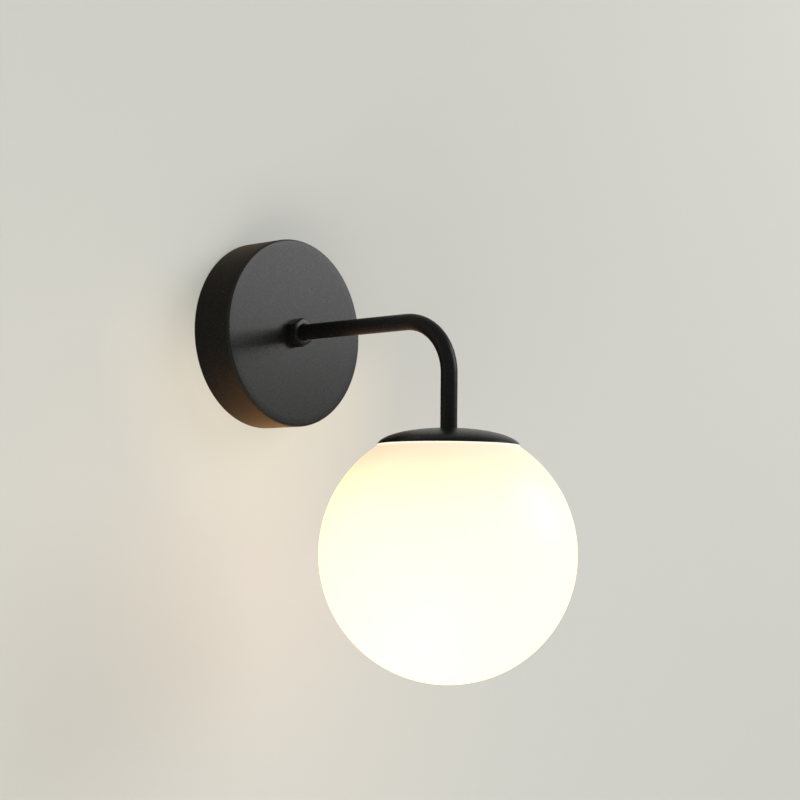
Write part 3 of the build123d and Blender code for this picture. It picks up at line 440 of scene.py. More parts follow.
class NodeSheet:
    """A material's node tree and the few patterns that the finishes are made of."""

    def __init__(self, name: str) -> None:
        """Starts a material with a Principled shader and the piece's own coordinates.

        Args:
            name: The material's name.
        """
        self.material = bpy.data.materials.new(name)
        self.material.use_nodes = True
        self.tree = self.material.node_tree
        self.shader = self.tree.nodes["Principled BSDF"]
        self.place = self.add("ShaderNodeTexCoord").outputs["Object"]

    def add(self, kind: str, **settings: object) -> bpy.types.Node:
        """Adds a node.

        Args:
            kind: The node's type.
            settings: Values for its plain settings.

        Returns:
            The node.
        """
        node = self.tree.nodes.new(kind)
        for setting, value in settings.items():
            setattr(node, setting, value)
        return node

    def fill(self, node: bpy.types.Node, **inputs: object) -> bpy.types.Node:
        """Fills a node's inputs, by link for a socket and by value for anything else.

        Args:
            node: The node.
            inputs: What goes into each input, by its label with underscores for spaces.

        Returns:
            The same node.
        """
        for label, value in inputs.items():
            socket = node.inputs[label.replace("_", " ")]
            if isinstance(value, bpy.types.NodeSocket):
                self.tree.links.new(value, socket)
            else:
                socket.default_value = value
        return node

    def stretched(self, stretch: Point) -> bpy.types.NodeSocket:
        """Stretches the piece's coordinates, for streaks along an axis.

        Args:
            stretch: Scale along each axis.

        Returns:
            The stretched coordinates.
        """
        mapping = self.add("ShaderNodeMapping")
        self.fill(mapping, Vector=self.place, Scale=stretch)
        return mapping.outputs["Vector"]

    def noise(
        self, scale: float, detail: float = 2.0, stretch: Point | None = None
    ) -> bpy.types.NodeSocket:
        """Makes noise on the piece's coordinates.

        Args:
            scale: Features to the metre.
            detail: Number of finer layers on top.
            stretch: Scale along each axis where the noise is stretched.

        Returns:
            The noise.
        """
        vector = self.stretched(stretch) if stretch else self.place
        node = self.add("ShaderNodeTexNoise")
        self.fill(node, Vector=vector, Scale=scale, Detail=detail)
        return node.outputs["Fac"]

    def span(
        self, value: bpy.types.NodeSocket, low: float, high: float, first: float, last: float
    ) -> bpy.types.NodeSocket:
        """Maps a range of a value to another range, and holds it at the ends.

        Args:
            value: The value.
            low: Start of the value's range.
            high: End of the value's range.
            first: The result at the start.
            last: The result at the end.

        Returns:
            The mapped value.
        """
        node = self.add("ShaderNodeMapRange")
        self.tree.links.new(value, node.inputs[0])
        for index, number in enumerate((low, high, first, last), start=1):
            node.inputs[index].default_value = number
        return node.outputs[0]

    def reckon(
        self, joining: Joining, first: bpy.types.NodeSocket, second: bpy.types.NodeSocket
    ) -> bpy.types.NodeSocket:
        """Puts two values together.

        Args:
            joining: The way it is done.
            first: One value.
            second: The other value.

        Returns:
            The result.
        """
        node = self.add("ShaderNodeMath", operation=joining.value)
        self.tree.links.new(first, node.inputs[0])
        self.tree.links.new(second, node.inputs[1])
        return node.outputs[0]

    def mix(
        self,
        amount: bpy.types.NodeSocket,
        first: bpy.types.NodeSocket | Colour,
        second: bpy.types.NodeSocket | Colour,
    ) -> bpy.types.NodeSocket:
        """Blends two colours.

        Args:
            amount: Share of the second colour.
            first: The first colour, or the socket that gives it.
            second: The second colour, or the socket that gives it.

        Returns:
            The blended colour.
        """
        node = self.add("ShaderNodeMix", data_type="RGBA")
        self.tree.links.new(amount, node.inputs["Factor"])
        # The node's colour sockets come after those for numbers and vectors, with the same labels.
        for socket, value in ((node.inputs[6], first), (node.inputs[7], second)):
            if isinstance(value, bpy.types.NodeSocket):
                self.tree.links.new(value, socket)
            else:
                socket.default_value = (*value, 1)
        return node.outputs[2]

    def blend(
        self,
        amount: bpy.types.NodeSocket,
        first: bpy.types.NodeSocket,
        second: bpy.types.NodeSocket,
    ) -> bpy.types.NodeSocket:
        """Blends two shaders.

        Args:
            amount: Share of the second shader.
            first: The first shader.
            second: The second shader.

        Returns:
            The blended shader.
        """
        node = self.add("ShaderNodeMixShader")
        for socket, source in zip(node.inputs, (amount, first, second)):
            self.tree.links.new(source, socket)
        return node.outputs[0]

    def light(self, colour: bpy.types.NodeSocket | Colour) -> bpy.types.NodeSocket:
        """Makes plain light.

        Args:
            colour: The light's colour, or the socket that gives it.

        Returns:
            The light as a shader.
        """
        tint = colour if isinstance(colour, bpy.types.NodeSocket) else (*colour, 1)
        node = self.fill(self.add("ShaderNodeEmission"), Color=tint, Strength=1.0)
        return node.outputs[0]

    def relief(
        self,
        height: bpy.types.NodeSocket,
        depth: float,
        under: bpy.types.NodeSocket | None = None,
    ) -> bpy.types.NodeSocket:
        """Raises a pattern on the surface.

        Args:
            height: The pattern.
            depth: Its depth in metres.
            under: Another relief that it lies on.

        Returns:
            The normals of the relief.
        """
        node = self.add("ShaderNodeBump")
        self.fill(node, Height=height, Distance=depth, Strength=1.0)
        if under:
            self.tree.links.new(under, node.inputs["Normal"])
        return node.outputs["Normal"]

    def edges(self, width: float) -> bpy.types.NodeSocket:
        """Finds the piece's outer corners.

        Args:
            width: Width in metres over which the corners would be rounded.

        Returns:
            A mask of 1 on the corners and 0 on the flats.
        """
        bevel = self.add("ShaderNodeBevel", samples=4)
        self.fill(bevel, Radius=width)
        geometry = self.add("ShaderNodeNewGeometry")
        dot = self.add("ShaderNodeVectorMath", operation="DOT_PRODUCT")
        self.tree.links.new(bevel.outputs[0], dot.inputs[0])
        self.tree.links.new(geometry.outputs["Normal"], dot.inputs[1])
        return self.span(dot.outputs["Value"], *CORNER_COSINES, 0.0, 1.0)

    def level(self, low: float, high: float) -> bpy.types.NodeSocket:
        """Finds how high a place on the piece lies.

        Args:
            low: Level in metres where the result is 0.
            high: Level in metres where the result is 1.

        Returns:
            The height, with a soft start and end.
        """
        split = self.add("ShaderNodeSeparateXYZ")
        self.fill(split, Vector=self.place)
        node = self.add("ShaderNodeMapRange", interpolation_type="SMOOTHSTEP")
        self.tree.links.new(split.outputs["Z"], node.inputs[0])
        for index, number in enumerate((low, high, 0.0, 1.0), start=1):
            node.inputs[index].default_value = number
        return node.outputs[0]


@dataclass(frozen=True)
class Finish:
    """A finish with mottled colour, uneven gloss, fine relief and rubbed corners.

    Colours are linear. Sizes of patterns are features to the metre, and depths are in metres.
    """

    name: str
    colour: Colour
    shade: Colour
    gloss: tuple[float, float]
    metallic: float = 0.0
    mottle: float = 60.0
    grain: float = 1200.0
    grain_depth: float = 0.00001
    peel: float = 300.0
    peel_depth: float = 0.0
    streaks: Point | None = None
    rubbed: Colour | None = None
    rub_width: float = 0.0003
    shader: tuple[tuple[str, float], ...] = ()
    gloss_fineness: float = 4.0
    rub_fineness: float = 5.0
    rub_least: float = 0.25

    def material(self) -> bpy.types.Material:
        """Makes the finish as a material, on its first use.

        Returns:
            The material.
        """
        made = bpy.data.materials.get(self.name)
        if made:
            return made
        sheet = NodeSheet(self.name)
        colour = self.coloured(sheet)
        uneven = sheet.noise(self.mottle * self.gloss_fineness, detail=4.0, stretch=self.streaks)
        rough = sheet.span(uneven, *WIDE_NOISE, *self.gloss)
        normal = sheet.relief(sheet.noise(self.grain, stretch=self.streaks), self.grain_depth)
        if self.peel_depth:
            normal = sheet.relief(sheet.noise(self.peel, detail=1.0), self.peel_depth, normal)
        if self.rubbed:
            patches = sheet.noise(self.mottle * self.rub_fineness, detail=3.0)
            breakup = sheet.span(patches, *NARROW_NOISE, self.rub_least, 1.0)
            rub = sheet.reckon(Joining.TIMES, sheet.edges(self.rub_width), breakup)
            colour = sheet.mix(rub, colour, self.rubbed)
        sheet.fill(
            sheet.shader, Base_Color=colour, Roughness=rough, Normal=normal, Metallic=self.metallic
        )
        for label, value in self.shader:
            sheet.shader.inputs[label].default_value = value
        self.lit(sheet)
        return sheet.material

    def coloured(self, sheet: NodeSheet) -> bpy.types.NodeSocket:
        """The mottled base colour."""
        patches = sheet.noise(self.mottle, detail=5.0, stretch=self.streaks)
        return sheet.mix(sheet.span(patches, *NARROW_NOISE, 0.0, 1.0), self.colour, self.shade)

    def lit(self, sheet: NodeSheet) -> None:
        """Adds no light of its own."""


@dataclass(frozen=True)
class Glowing(Finish):
    """A translucent white that is lit from inside, warmer where the light falls off."""

    glow: Colour = (1.0, 1.0, 0.9)
    edge_glow: Colour = (1.0, 0.9, 0.7)
    strength: float = 1.0
    edge_level: float = 0.0
    glow_level: float = 0.0
    swirls: float = 18.0
    swirl_least: float = 0.94

    def lit(self, sheet: NodeSheet) -> None:
        """Lights the shell, with the glow drifting over height and faint swirls in the glass.

        Args:
            sheet: The material's node sheet.
        """
        height = sheet.level(self.edge_level, self.glow_level)
        drift = sheet.noise(self.swirls, detail=3.0)
        swirl = sheet.span(drift, *WIDE_NOISE, self.swirl_least, 1.0)
        light = sheet.mix(sheet.reckon(Joining.TIMES, height, swirl), self.edge_glow, self.glow)
        sheet.fill(sheet.shader, Emission_Color=light, Emission_Strength=self.strength)


@dataclass(frozen=True)
class Speckled(Finish):
    """A glaze or moulding with small specks."""

    speck: Colour = (0.3, 0.25, 0.2)
    specks: float = 900.0
    speck_edge: Span = (0.10, 0.16)
    speck_patches: Span = (0.55, 0.62)
    speck_strength: float = 0.8
    patch_width: float = 3.0

    def coloured(self, sheet: NodeSheet) -> bpy.types.NodeSocket:
        """Scatters specks over the mottled colour.

        Args:
            sheet: The material's node sheet.

        Returns:
            The colour.
        """
        base = super().coloured(sheet)
        cells = sheet.add("ShaderNodeTexVoronoi")
        sheet.fill(cells, Vector=sheet.place, Scale=self.specks)
        dots = sheet.span(cells.outputs["Distance"], *self.speck_edge, 1.0, 0.0)
        patches = sheet.noise(self.specks / self.patch_width, detail=1.0)
        sparse = sheet.span(patches, *self.speck_patches, 0.0, self.speck_strength)
        return sheet.mix(sheet.reckon(Joining.TIMES, dots, sparse), base, self.speck)


@dataclass(frozen=True)
class Striped(Finish):
    """Wire insulation with a second colour along its upper side."""

    stripe: Colour = (0.8, 0.6, 0.02)
    stripe_edge: Span = (0.42, 0.46)

    def coloured(self, sheet: NodeSheet) -> bpy.types.NodeSocket:
        """Lays the stripe over the mottled colour.

        Args:
            sheet: The material's node sheet.

        Returns:
            The colour.
        """
        base = super().coloured(sheet)
        geometry = sheet.add("ShaderNodeNewGeometry")
        split = sheet.add("ShaderNodeSeparateXYZ")
        sheet.fill(split, Vector=geometry.outputs["True Normal"])
        band = sheet.span(split.outputs["Z"], *self.stripe_edge, 0.0, 1.0)
        return sheet.mix(band, base, self.stripe)


@dataclass(frozen=True)
class Printed(Finish):
    """A circuit board: lacquer over copper tracks."""

    track: Colour = (0.5, 0.45, 0.3)
    tracks: float = 260.0
    track_edge: Span = (0.05, 0.08)

    def coloured(self, sheet: NodeSheet) -> bpy.types.NodeSocket:
        """Lets the tracks show through the lacquer's colour.

        Args:
            sheet: The material's node sheet.

        Returns:
            The colour.
        """
        base = super().coloured(sheet)
        cells = sheet.add("ShaderNodeTexVoronoi", distance="CHEBYCHEV", feature="DISTANCE_TO_EDGE")
        sheet.fill(cells, Vector=sheet.place, Scale=self.tracks)
        lines = sheet.span(cells.outputs["Distance"], *self.track_edge, 1.0, 0.0)
        return sheet.mix(lines, base, self.track)


BLACK_COAT = Finish(
    "satin_black_powder_coat",
    (0.0046, 0.0049, 0.0050),
    (0.0060, 0.0061, 0.0060),
    (0.26, 0.32),
    mottle=140.0,
    grain=3200.0,
    grain_depth=0.000007,
    peel=1100.0,
    peel_depth=0.000009,
    rubbed=(0.022, 0.021, 0.020),
    rub_width=0.0004,
    shader=(("Specular IOR Level", 0.27),),
)
# Painted shade: a darker copy of the canopy's coat, with half its specular, for the arm and the
# cap.
SHADED_BLACK_COAT = replace(
    BLACK_COAT,
    name="black_powder_coat_painted_shade",
    colour=(0.0040, 0.0041, 0.0041),
    shade=(0.0050, 0.0050, 0.0049),
    shader=(("Specular IOR Level", 0.135),),
)
ZINC = Finish(
    "zinc_plated_steel",
    (0.56, 0.58, 0.60),
    (0.44, 0.47, 0.52),
    (0.26, 0.46),
    metallic=1.0,
    mottle=45.0,
    grain=500.0,
    streaks=(1.0, 1.0, 0.12),
    rubbed=(0.75, 0.76, 0.78),
)
SCREW_STEEL = Finish(
    "nickel_plated_screw_steel",
    (0.62, 0.60, 0.56),
    (0.50, 0.49, 0.47),
    (0.20, 0.38),
    metallic=1.0,
    mottle=120.0,
    rubbed=(0.8, 0.79, 0.76),
)
SPRING_STEEL = Finish(
    "rolled_spring_steel",
    (0.36, 0.37, 0.40),
    (0.28, 0.30, 0.35),
    (0.18, 0.34),
    metallic=1.0,
    mottle=80.0,
    grain=700.0,
    streaks=(1.0, 1.0, 0.08),
    rubbed=(0.6, 0.61, 0.63),
)
BRASS = Finish(
    "turned_brass",
    (0.72, 0.50, 0.22),
    (0.52, 0.35, 0.15),
    (0.20, 0.40),
    metallic=1.0,
    mottle=90.0,
    rubbed=(0.88, 0.68, 0.38),
)
OPAL = Glowing(
    "lit_opal_glass",
    (0.40, 0.42, 0.46),
    (0.38, 0.40, 0.44),
    (0.30, 0.38),
    mottle=12.0,
    grain=60.0,
    grain_depth=0.00003,
    glow=(1.0, 0.55, 0.255),
    edge_glow=(0.39, 0.27, 0.165),
    strength=2.0,
    edge_level=-0.068,
    glow_level=-0.120,
    shader=(("Specular IOR Level", 0.22),),
)
# Painted light: the seat ring glows on its own, in place of the globe's light that would shine
# through it.
SILICONE_PAINTED_GLOW = Glowing(
    "silicone_ring_painted_glow",
    (0.80, 0.79, 0.76),
    (0.72, 0.71, 0.67),
    (0.34, 0.5),
    glow=(1.0, 0.94, 0.82),
    edge_glow=(0.9, 0.84, 0.72),
    strength=0.55,
    edge_level=-0.071,
    glow_level=-0.076,
    shader=(("IOR", 1.41),),
)
BLOCK_PLASTIC = Speckled(
    "cream_terminal_plastic",
    (0.72, 0.69, 0.60),
    (0.66, 0.62, 0.52),
    (0.34, 0.48),
    peel=500.0,
    peel_depth=0.00002,
    speck=(0.45, 0.40, 0.30),
)
BUSHING_PLASTIC = Finish(
    "white_bushing_nylon",
    (0.78, 0.77, 0.73),
    (0.70, 0.69, 0.64),
    (0.30, 0.42),
    shader=(("Subsurface Weight", 0.1), ("Subsurface Scale", 0.001)),
)
HOLDER_PLASTIC = Speckled(
    "black_holder_thermoset",
    (0.022, 0.021, 0.020),
    (0.032, 0.030, 0.028),
    (0.24, 0.38),
    peel=350.0,
    peel_depth=0.00003,
    rubbed=(0.07, 0.068, 0.065),
    speck=(0.05, 0.045, 0.04),
)
CERAMIC = Speckled(
    "glazed_steatite",
    (0.74, 0.71, 0.64),
    (0.66, 0.63, 0.55),
    (0.16, 0.30),
    peel=240.0,
    peel_depth=0.00004,
    specks=1100.0,
)
LAMP_NICKEL = Finish(
    "nickel_lamp_thread",
    (0.66, 0.63, 0.57),
    (0.52, 0.50, 0.46),
    (0.16, 0.36),
    metallic=1.0,
    mottle=140.0,
    grain=900.0,
    streaks=(0.3, 0.3, 1.0),
    rubbed=(0.80, 0.78, 0.73),
)
LAMP_TIP = Finish(
    "soldered_lamp_tip",
    (0.52, 0.51, 0.48),
    (0.36, 0.35, 0.33),
    (0.30, 0.55),
    metallic=1.0,
    mottle=400.0,
    peel=600.0,
    peel_depth=0.00008,
)
LAMP_INSULATOR = Finish(
    "dark_lamp_insulator",
    (0.012, 0.010, 0.014),
    (0.020, 0.016, 0.020),
    (0.10, 0.22),
    peel=300.0,
    peel_depth=0.00004,
)
LAMP_BODY = Finish(
    "white_bulb_body",
    (0.80, 0.80, 0.78),
    (0.74, 0.74, 0.71),
    (0.26, 0.40),
    peel=450.0,
    peel_depth=0.00002,
)
LAMP_DOME = Glowing(
    "lit_bulb_dome",
    (0.86, 0.85, 0.82),
    (0.82, 0.81, 0.77),
    (0.36, 0.46),
    glow=(1.0, 0.96, 0.86),
    edge_glow=(1.0, 0.88, 0.70),
    strength=1.1,
    edge_level=-0.1424,
    glow_level=-0.158,
)
BOARD_WHITE = Printed(
    "white_lacquered_led_board",
    (0.76, 0.77, 0.77),
    (0.70, 0.71, 0.71),
    (0.30, 0.42),
    track=(0.62, 0.60, 0.52),
)
BOARD_GREEN = Printed(
    "green_driver_board",
    (0.02, 0.14, 0.05),
    (0.015, 0.10, 0.04),
    (0.26, 0.40),
    track=(0.10, 0.30, 0.10),
    tracks=420.0,
)
PHOSPHOR = Glowing(
    "led_phosphor",
    (0.85, 0.62, 0.10),
    (0.78, 0.52, 0.08),
    (0.35, 0.5),
    mottle=900.0,
    glow=(1.0, 0.92, 0.55),
    edge_glow=(1.0, 0.85, 0.40),
    strength=0.8,
    edge_level=-0.1450,
    glow_level=-0.1440,
)
WIRE_BROWN = Finish(
    "brown_wire_insulation",
    (0.13, 0.045, 0.018),
    (0.10, 0.033, 0.013),
    (0.30, 0.44),
    peel=260.0,
    peel_depth=0.00003,
)
WIRE_BLUE = Finish(
    "blue_wire_insulation",
    (0.015, 0.07, 0.38),
    (0.012, 0.05, 0.30),
    (0.30, 0.44),
    peel=260.0,
    peel_depth=0.00003,
)
WIRE_EARTH = Striped(
    "green_and_yellow_wire_insulation",
    (0.02, 0.20, 0.045),
    (0.015, 0.16, 0.035),
    (0.30, 0.44),
    peel=260.0,
    peel_depth=0.00003,
)

# ----------------------------------------------------------------------------- assemblies

LAMP_AXIS_Y = (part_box("globe_glass")[0].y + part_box("globe_glass")[1].y) / 2


@dataclass
class Assembly:
    """New pieces that stand for CAD nodes, and CAD nodes that only get a finish."""

    carried: dict[str, Finish] = field(default_factory=dict)

    def build(self) -> list[bpy.types.Object]:
        """Models the new pieces, of which a plain assembly has none."""
        return []

    def place(
        self, piece: bpy.types.Object, node: str, slot: str, finish: Finish, body: Body = Body.FIXED
    ) -> bpy.types.Object:
        """Dresses a new piece and puts it in a CAD node's stead.

        Args:
            piece: The new piece.
            node: The CAD node that it stands for.
            slot: The record's material slot. Not used.
            finish: The finish it gets.
            body: The body it rides on.

        Returns:
            The same piece.
        """
        piece.data.materials.clear()
        piece.data.materials.append(finish.material())
        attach(piece, body.value)
        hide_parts(node)
        return piece

    def dress(self) -> list[str]:
        """Gives each carried CAD node its finish.

        Returns:
            The nodes' names.
        """
        for node, finish in self.carried.items():
            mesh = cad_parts[node].data
            if not mesh.materials:
                mesh.materials.append(finish.material())
            for index in range(len(mesh.materials)):
                mesh.materials[index] = finish.material()
        return list(self.carried)


@dataclass
class WallMount(Assembly):
    """Strap bracket behind the canopy, with its terminal block and earth screw."""

    carried: dict[str, Finish] = field(
        default_factory=lambda: {
            "terminal_block": BLOCK_PLASTIC,
            "terminal_clamps": BRASS,
            "terminal_clamp_screws": SCREW_STEEL,
            "terminal_block_screw": SCREW_STEEL,
            "earth_screw": BRASS,
            "earth_washer": ZINC,
            "earth_ring": BRASS,
        }
    )
    width: float = 22.0
    thickness: float = 1.5
    bend: float = 2.25
    ear_length: float = 18.0
    ear_hole: float = 2.0
    grub_depth: float = 12.0
    slot_spacing: float = 70.0
    slot_length: float = 12.0
    slot_width: float = 4.5
    cable_hole: float = 7.0
    block_hole: Ring = (1.5, 18.0)
    earth_hole: Ring = (2.0, -17.5)
    drill_length: float = 8.0
    ear_drill_length: float = 6.0
    corner: float = 0.18

    def build(self) -> list[bpy.types.Object]:
        """Bends and drills the strap.

        Returns:
            The strap.
        """
        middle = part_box("wall_bracket")[1].z / MM - self.thickness / 2
        back = self.thickness / 2
        corners = [
            (self.ear_length, middle),
            (back, middle),
            (back, -middle),
            (self.ear_length, -middle),
        ]
        route = Section.rounded(corners, [self.bend, self.bend])
        strap = Bench.strip("bent_wall_strap", route, self.width, self.thickness)
        strap.rotation_euler = (0, 0, -QUARTER_TURN)
        Bench.settle(strap)
        slot_radius = self.slot_width / 2
        stretch = self.slot_length - self.slot_width
        for height in (self.slot_spacing / 2, -self.slot_spacing / 2):
            place = (0, 0, height)
            Bench.drill(strap, place, slot_radius, self.drill_length, Facing.WALL, stretch)
        for radius, height in ((self.cable_hole, 0), self.block_hole, self.earth_hole):
            Bench.drill(strap, (0, 0, height), radius, self.drill_length, Facing.WALL)
        for height in (middle, -middle):
            place = (0, -self.grub_depth, height)
            Bench.drill(strap, place, self.ear_hole, self.ear_drill_length, Facing.LAMP)
        Bench.finished(strap, self.corner)
        return [self.place(strap, "wall_bracket", "zinc_steel", ZINC)]


@dataclass
class Canopy(Assembly):
    """Round cup on the wall, with the nuts that clamp the arm in its face."""

    carried: dict[str, Finish] = field(
        default_factory=lambda: {
            "canopy_grub_screws": BLACK_COAT,
            "inner_nut": ZINC,
            "lock_washer": SPRING_STEEL,
            "earth_tag": BRASS,
            "tube_bushing": BUSHING_PLASTIC,
        }
    )
    radius: float = 60.0
    depth: float = 30.0
    wall: float = 1.2
    edge_radius: float = 1.5
    tube_hole: float = 5.2
    grub_hole: float = 2.2
    grub_depth: float = 12.0
    nut_flats: float = 16.0
    nut_thickness: float = 7.0
    nut_bore: float = 5.05
    nut_face_share: float = 0.97
    nut_slope: float = 0.55
    nut_clearance: float = 0.01
    nut_chamfer: float = 0.5
    nut_corner: float = 0.16
    face_rings: tuple[float, ...] = (12.0, 28.0, 44.0, 54.0)
    side_levels: tuple[float, ...] = (24.0, 18.0, 9.0, 0.0)
    inside_levels: tuple[float, ...] = (0.0, 9.0, 18.0)
    back_rings: tuple[float, ...] = (44.0, 20.0)
    edge_steps: int = 10
    inside_steps: int = 6
    sides: int = 192
    drill_length: float = 8.0
    corner: float = 0.12

    def build(self) -> list[bpy.types.Object]:
        """Spins the cup and shapes the front nut.

        Returns:
            The cup and the nut.
        """
        return [
            self.place(self.cup(), "canopy", "black_metal", BLACK_COAT),
            self.place(self.nut(), "front_nut", "black_metal", BLACK_COAT),
        ]

    def cup(self) -> bpy.types.Object:
        """Spins the cup: a thin wall with a rounded front edge and two screw holes in its side.

        Returns:
            The cup.
        """
        edge = (self.radius - self.edge_radius, self.depth - self.edge_radius)
        inner = self.edge_radius / 2
        inside = (self.radius - self.wall - inner, self.depth - self.wall - inner)
        rings = [(radius, self.depth) for radius in (self.tube_hole, *self.face_rings)]
        rings += Section.arc(edge, (self.edge_radius,) * 2, 90, 0, self.edge_steps)
        rings += [(self.radius, level) for level in self.side_levels]
        rings += [(self.radius - self.wall, level) for level in self.inside_levels]
        rings += Section.arc(inside, (inner,) * 2, 0, 90, self.inside_steps)
        rings += [(radius, self.depth - self.wall) for radius in (*self.back_rings, self.tube_hole)]
        cup = Bench.turned("spun_canopy", rings, facing=Facing.WALL, segments=self.sides)
        for height in (self.radius, -self.radius):
            place = (0, -self.grub_depth, height)
            Bench.drill(cup, place, self.grub_hole, self.drill_length, Facing.LAMP)
        return Bench.finished(cup, self.corner)

    def nut(self) -> bpy.types.Object:
        """Shapes the hexagon nut, coned at its corners and bored for the arm.

        Returns:
            The nut.
        """
        Bench.clear()
        corner = self.nut_flats / math.sqrt(3)
        middle = self.depth + self.nut_thickness / 2
        bpy.ops.mesh.primitive_cylinder_add(
            vertices=6,
            radius=corner * MM,
            depth=self.nut_thickness * MM,
            location=(0, -middle * MM, 0),
            rotation=(QUARTER_TURN, 0, 0),
        )
        nut = Bench.named("front_collar_nut")
        Bench.settle(nut)
        flat = self.nut_flats / 2 * self.nut_face_share
        slope = (corner - flat) * self.nut_slope
        clear = corner + self.nut_clearance
        front = self.depth + self.nut_thickness
        rings = [
            (self.nut_bore, self.depth),
            (flat, self.depth),
            (clear, self.depth + slope),
            (clear, front - slope),
            (flat, front),
            (self.nut_bore + self.nut_chamfer, front),
            (self.nut_bore, front - self.nut_chamfer),
        ]
        Bench.combine(nut, Bench.turned("cone", rings, facing=Facing.WALL), Cut.TRIM)
        return Bench.finished(nut, self.nut_corner)


@dataclass
class Arm(Assembly):
    """Tube that runs out from the canopy and bends down to the cap."""

    carried: dict[str, Finish] = field(default_factory=lambda: {"end_nipple": ZINC})
    radius: float = 5.0
    wall: float = 1.5
    bend_radius: float = 33.0
    bend_steps: int = 40
    thread_end: float = 29.0
    thread_pitch: float = 1.0
    thread_depth: float = 0.35
    chamfer: float = 0.4
    sides: int = 64
    run_parts: int = 6
    drop_parts: int = 4
    end_slack: float = 0.01

    def build(self) -> list[bpy.types.Object]:
        """Draws the tube out, bends it down to the cap and gives it its wall.

        Returns:
            The arm.
        """
        low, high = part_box("arm_tube")
        start = -high.y / MM
        bend_start = -LAMP_AXIS_Y / MM - self.bend_radius
        end_radius = self.radius - self.chamfer
        Bench.clear()
        bpy.ops.mesh.primitive_circle_add(
            vertices=self.sides, radius=end_radius * MM, location=(0, 0, start * MM)
        )
        tube = Bench.named("bent_arm")
        bpy.ops.object.mode_set(mode="EDIT")
        bpy.ops.mesh.select_mode(type="EDGE")
        bpy.ops.mesh.select_all(action="SELECT")
        Bench.draw_out((end_radius, start), self.run(start, bend_start))
        bpy.ops.object.mode_set(mode="OBJECT")
        Bench.settle(tube)
        tube.rotation_euler = (QUARTER_TURN, 0, 0)
        Bench.settle(tube)
        self.bend(bend_start, low.z)
        Bench.modify(tube, "SOLIDIFY", thickness=self.wall * MM, offset=-1, use_rim=True)
        Bench.finished(tube)
        return [self.place(tube, "arm_tube", "black_metal", SHADED_BLACK_COAT)]

    def run(self, start: float, bend_start: float) -> list[Ring]:
        """Lays out the straight run: a chamfer, the thread's grooves and the plain tube.

        Args:
            start: Level of the tube's inner end, in millimetres.
            bend_start: Level where the bend starts.

        Returns:
            Radius and level of each ring after the first.
        """
        rings = [(self.radius, start + self.chamfer)]
        level = rings[0][1] + self.thread_pitch / 2
        while level < self.thread_end:
            rings.append((self.radius - self.thread_depth, level))
            rings.append((self.radius, level + self.thread_pitch / 2))
            level += self.thread_pitch
        length = bend_start - rings[-1][1]
        for part in reversed(range(self.run_parts)):
            rings.append((self.radius, bend_start - length * part / self.run_parts))
        return rings

    def bend(self, bend_start: float, end_level: float) -> None:
        """Spins the end of the straight run round the bend and drops it to the cap.

        Args:
            bend_start: Reach in millimetres where the bend starts.
            end_level: Level of the tube's lower end, in metres.
        """
        bpy.ops.object.mode_set(mode="EDIT")
        Bench.pick(lambda place: place.y < -(bend_start - self.end_slack) * MM)
        bpy.ops.mesh.spin(
            steps=self.bend_steps,
            angle=QUARTER_TURN,
            center=(0, -bend_start * MM, -self.bend_radius * MM),
            axis=(-1, 0, 0),
        )
        Bench.pick(lambda place: place.z < -(self.bend_radius - self.end_slack) * MM)
        drop = (end_level + self.bend_radius * MM) / self.drop_parts
        for _ in range(self.drop_parts):
            bpy.ops.mesh.extrude_edges_move(TRANSFORM_OT_translate={"value": (0, 0, drop)})
        bpy.ops.mesh.select_all(action="SELECT")
        bpy.ops.mesh.remove_doubles(threshold=MERGE_DISTANCE)
        bpy.ops.mesh.normals_make_consistent(inside=False)
        bpy.ops.object.mode_set(mode="OBJECT")


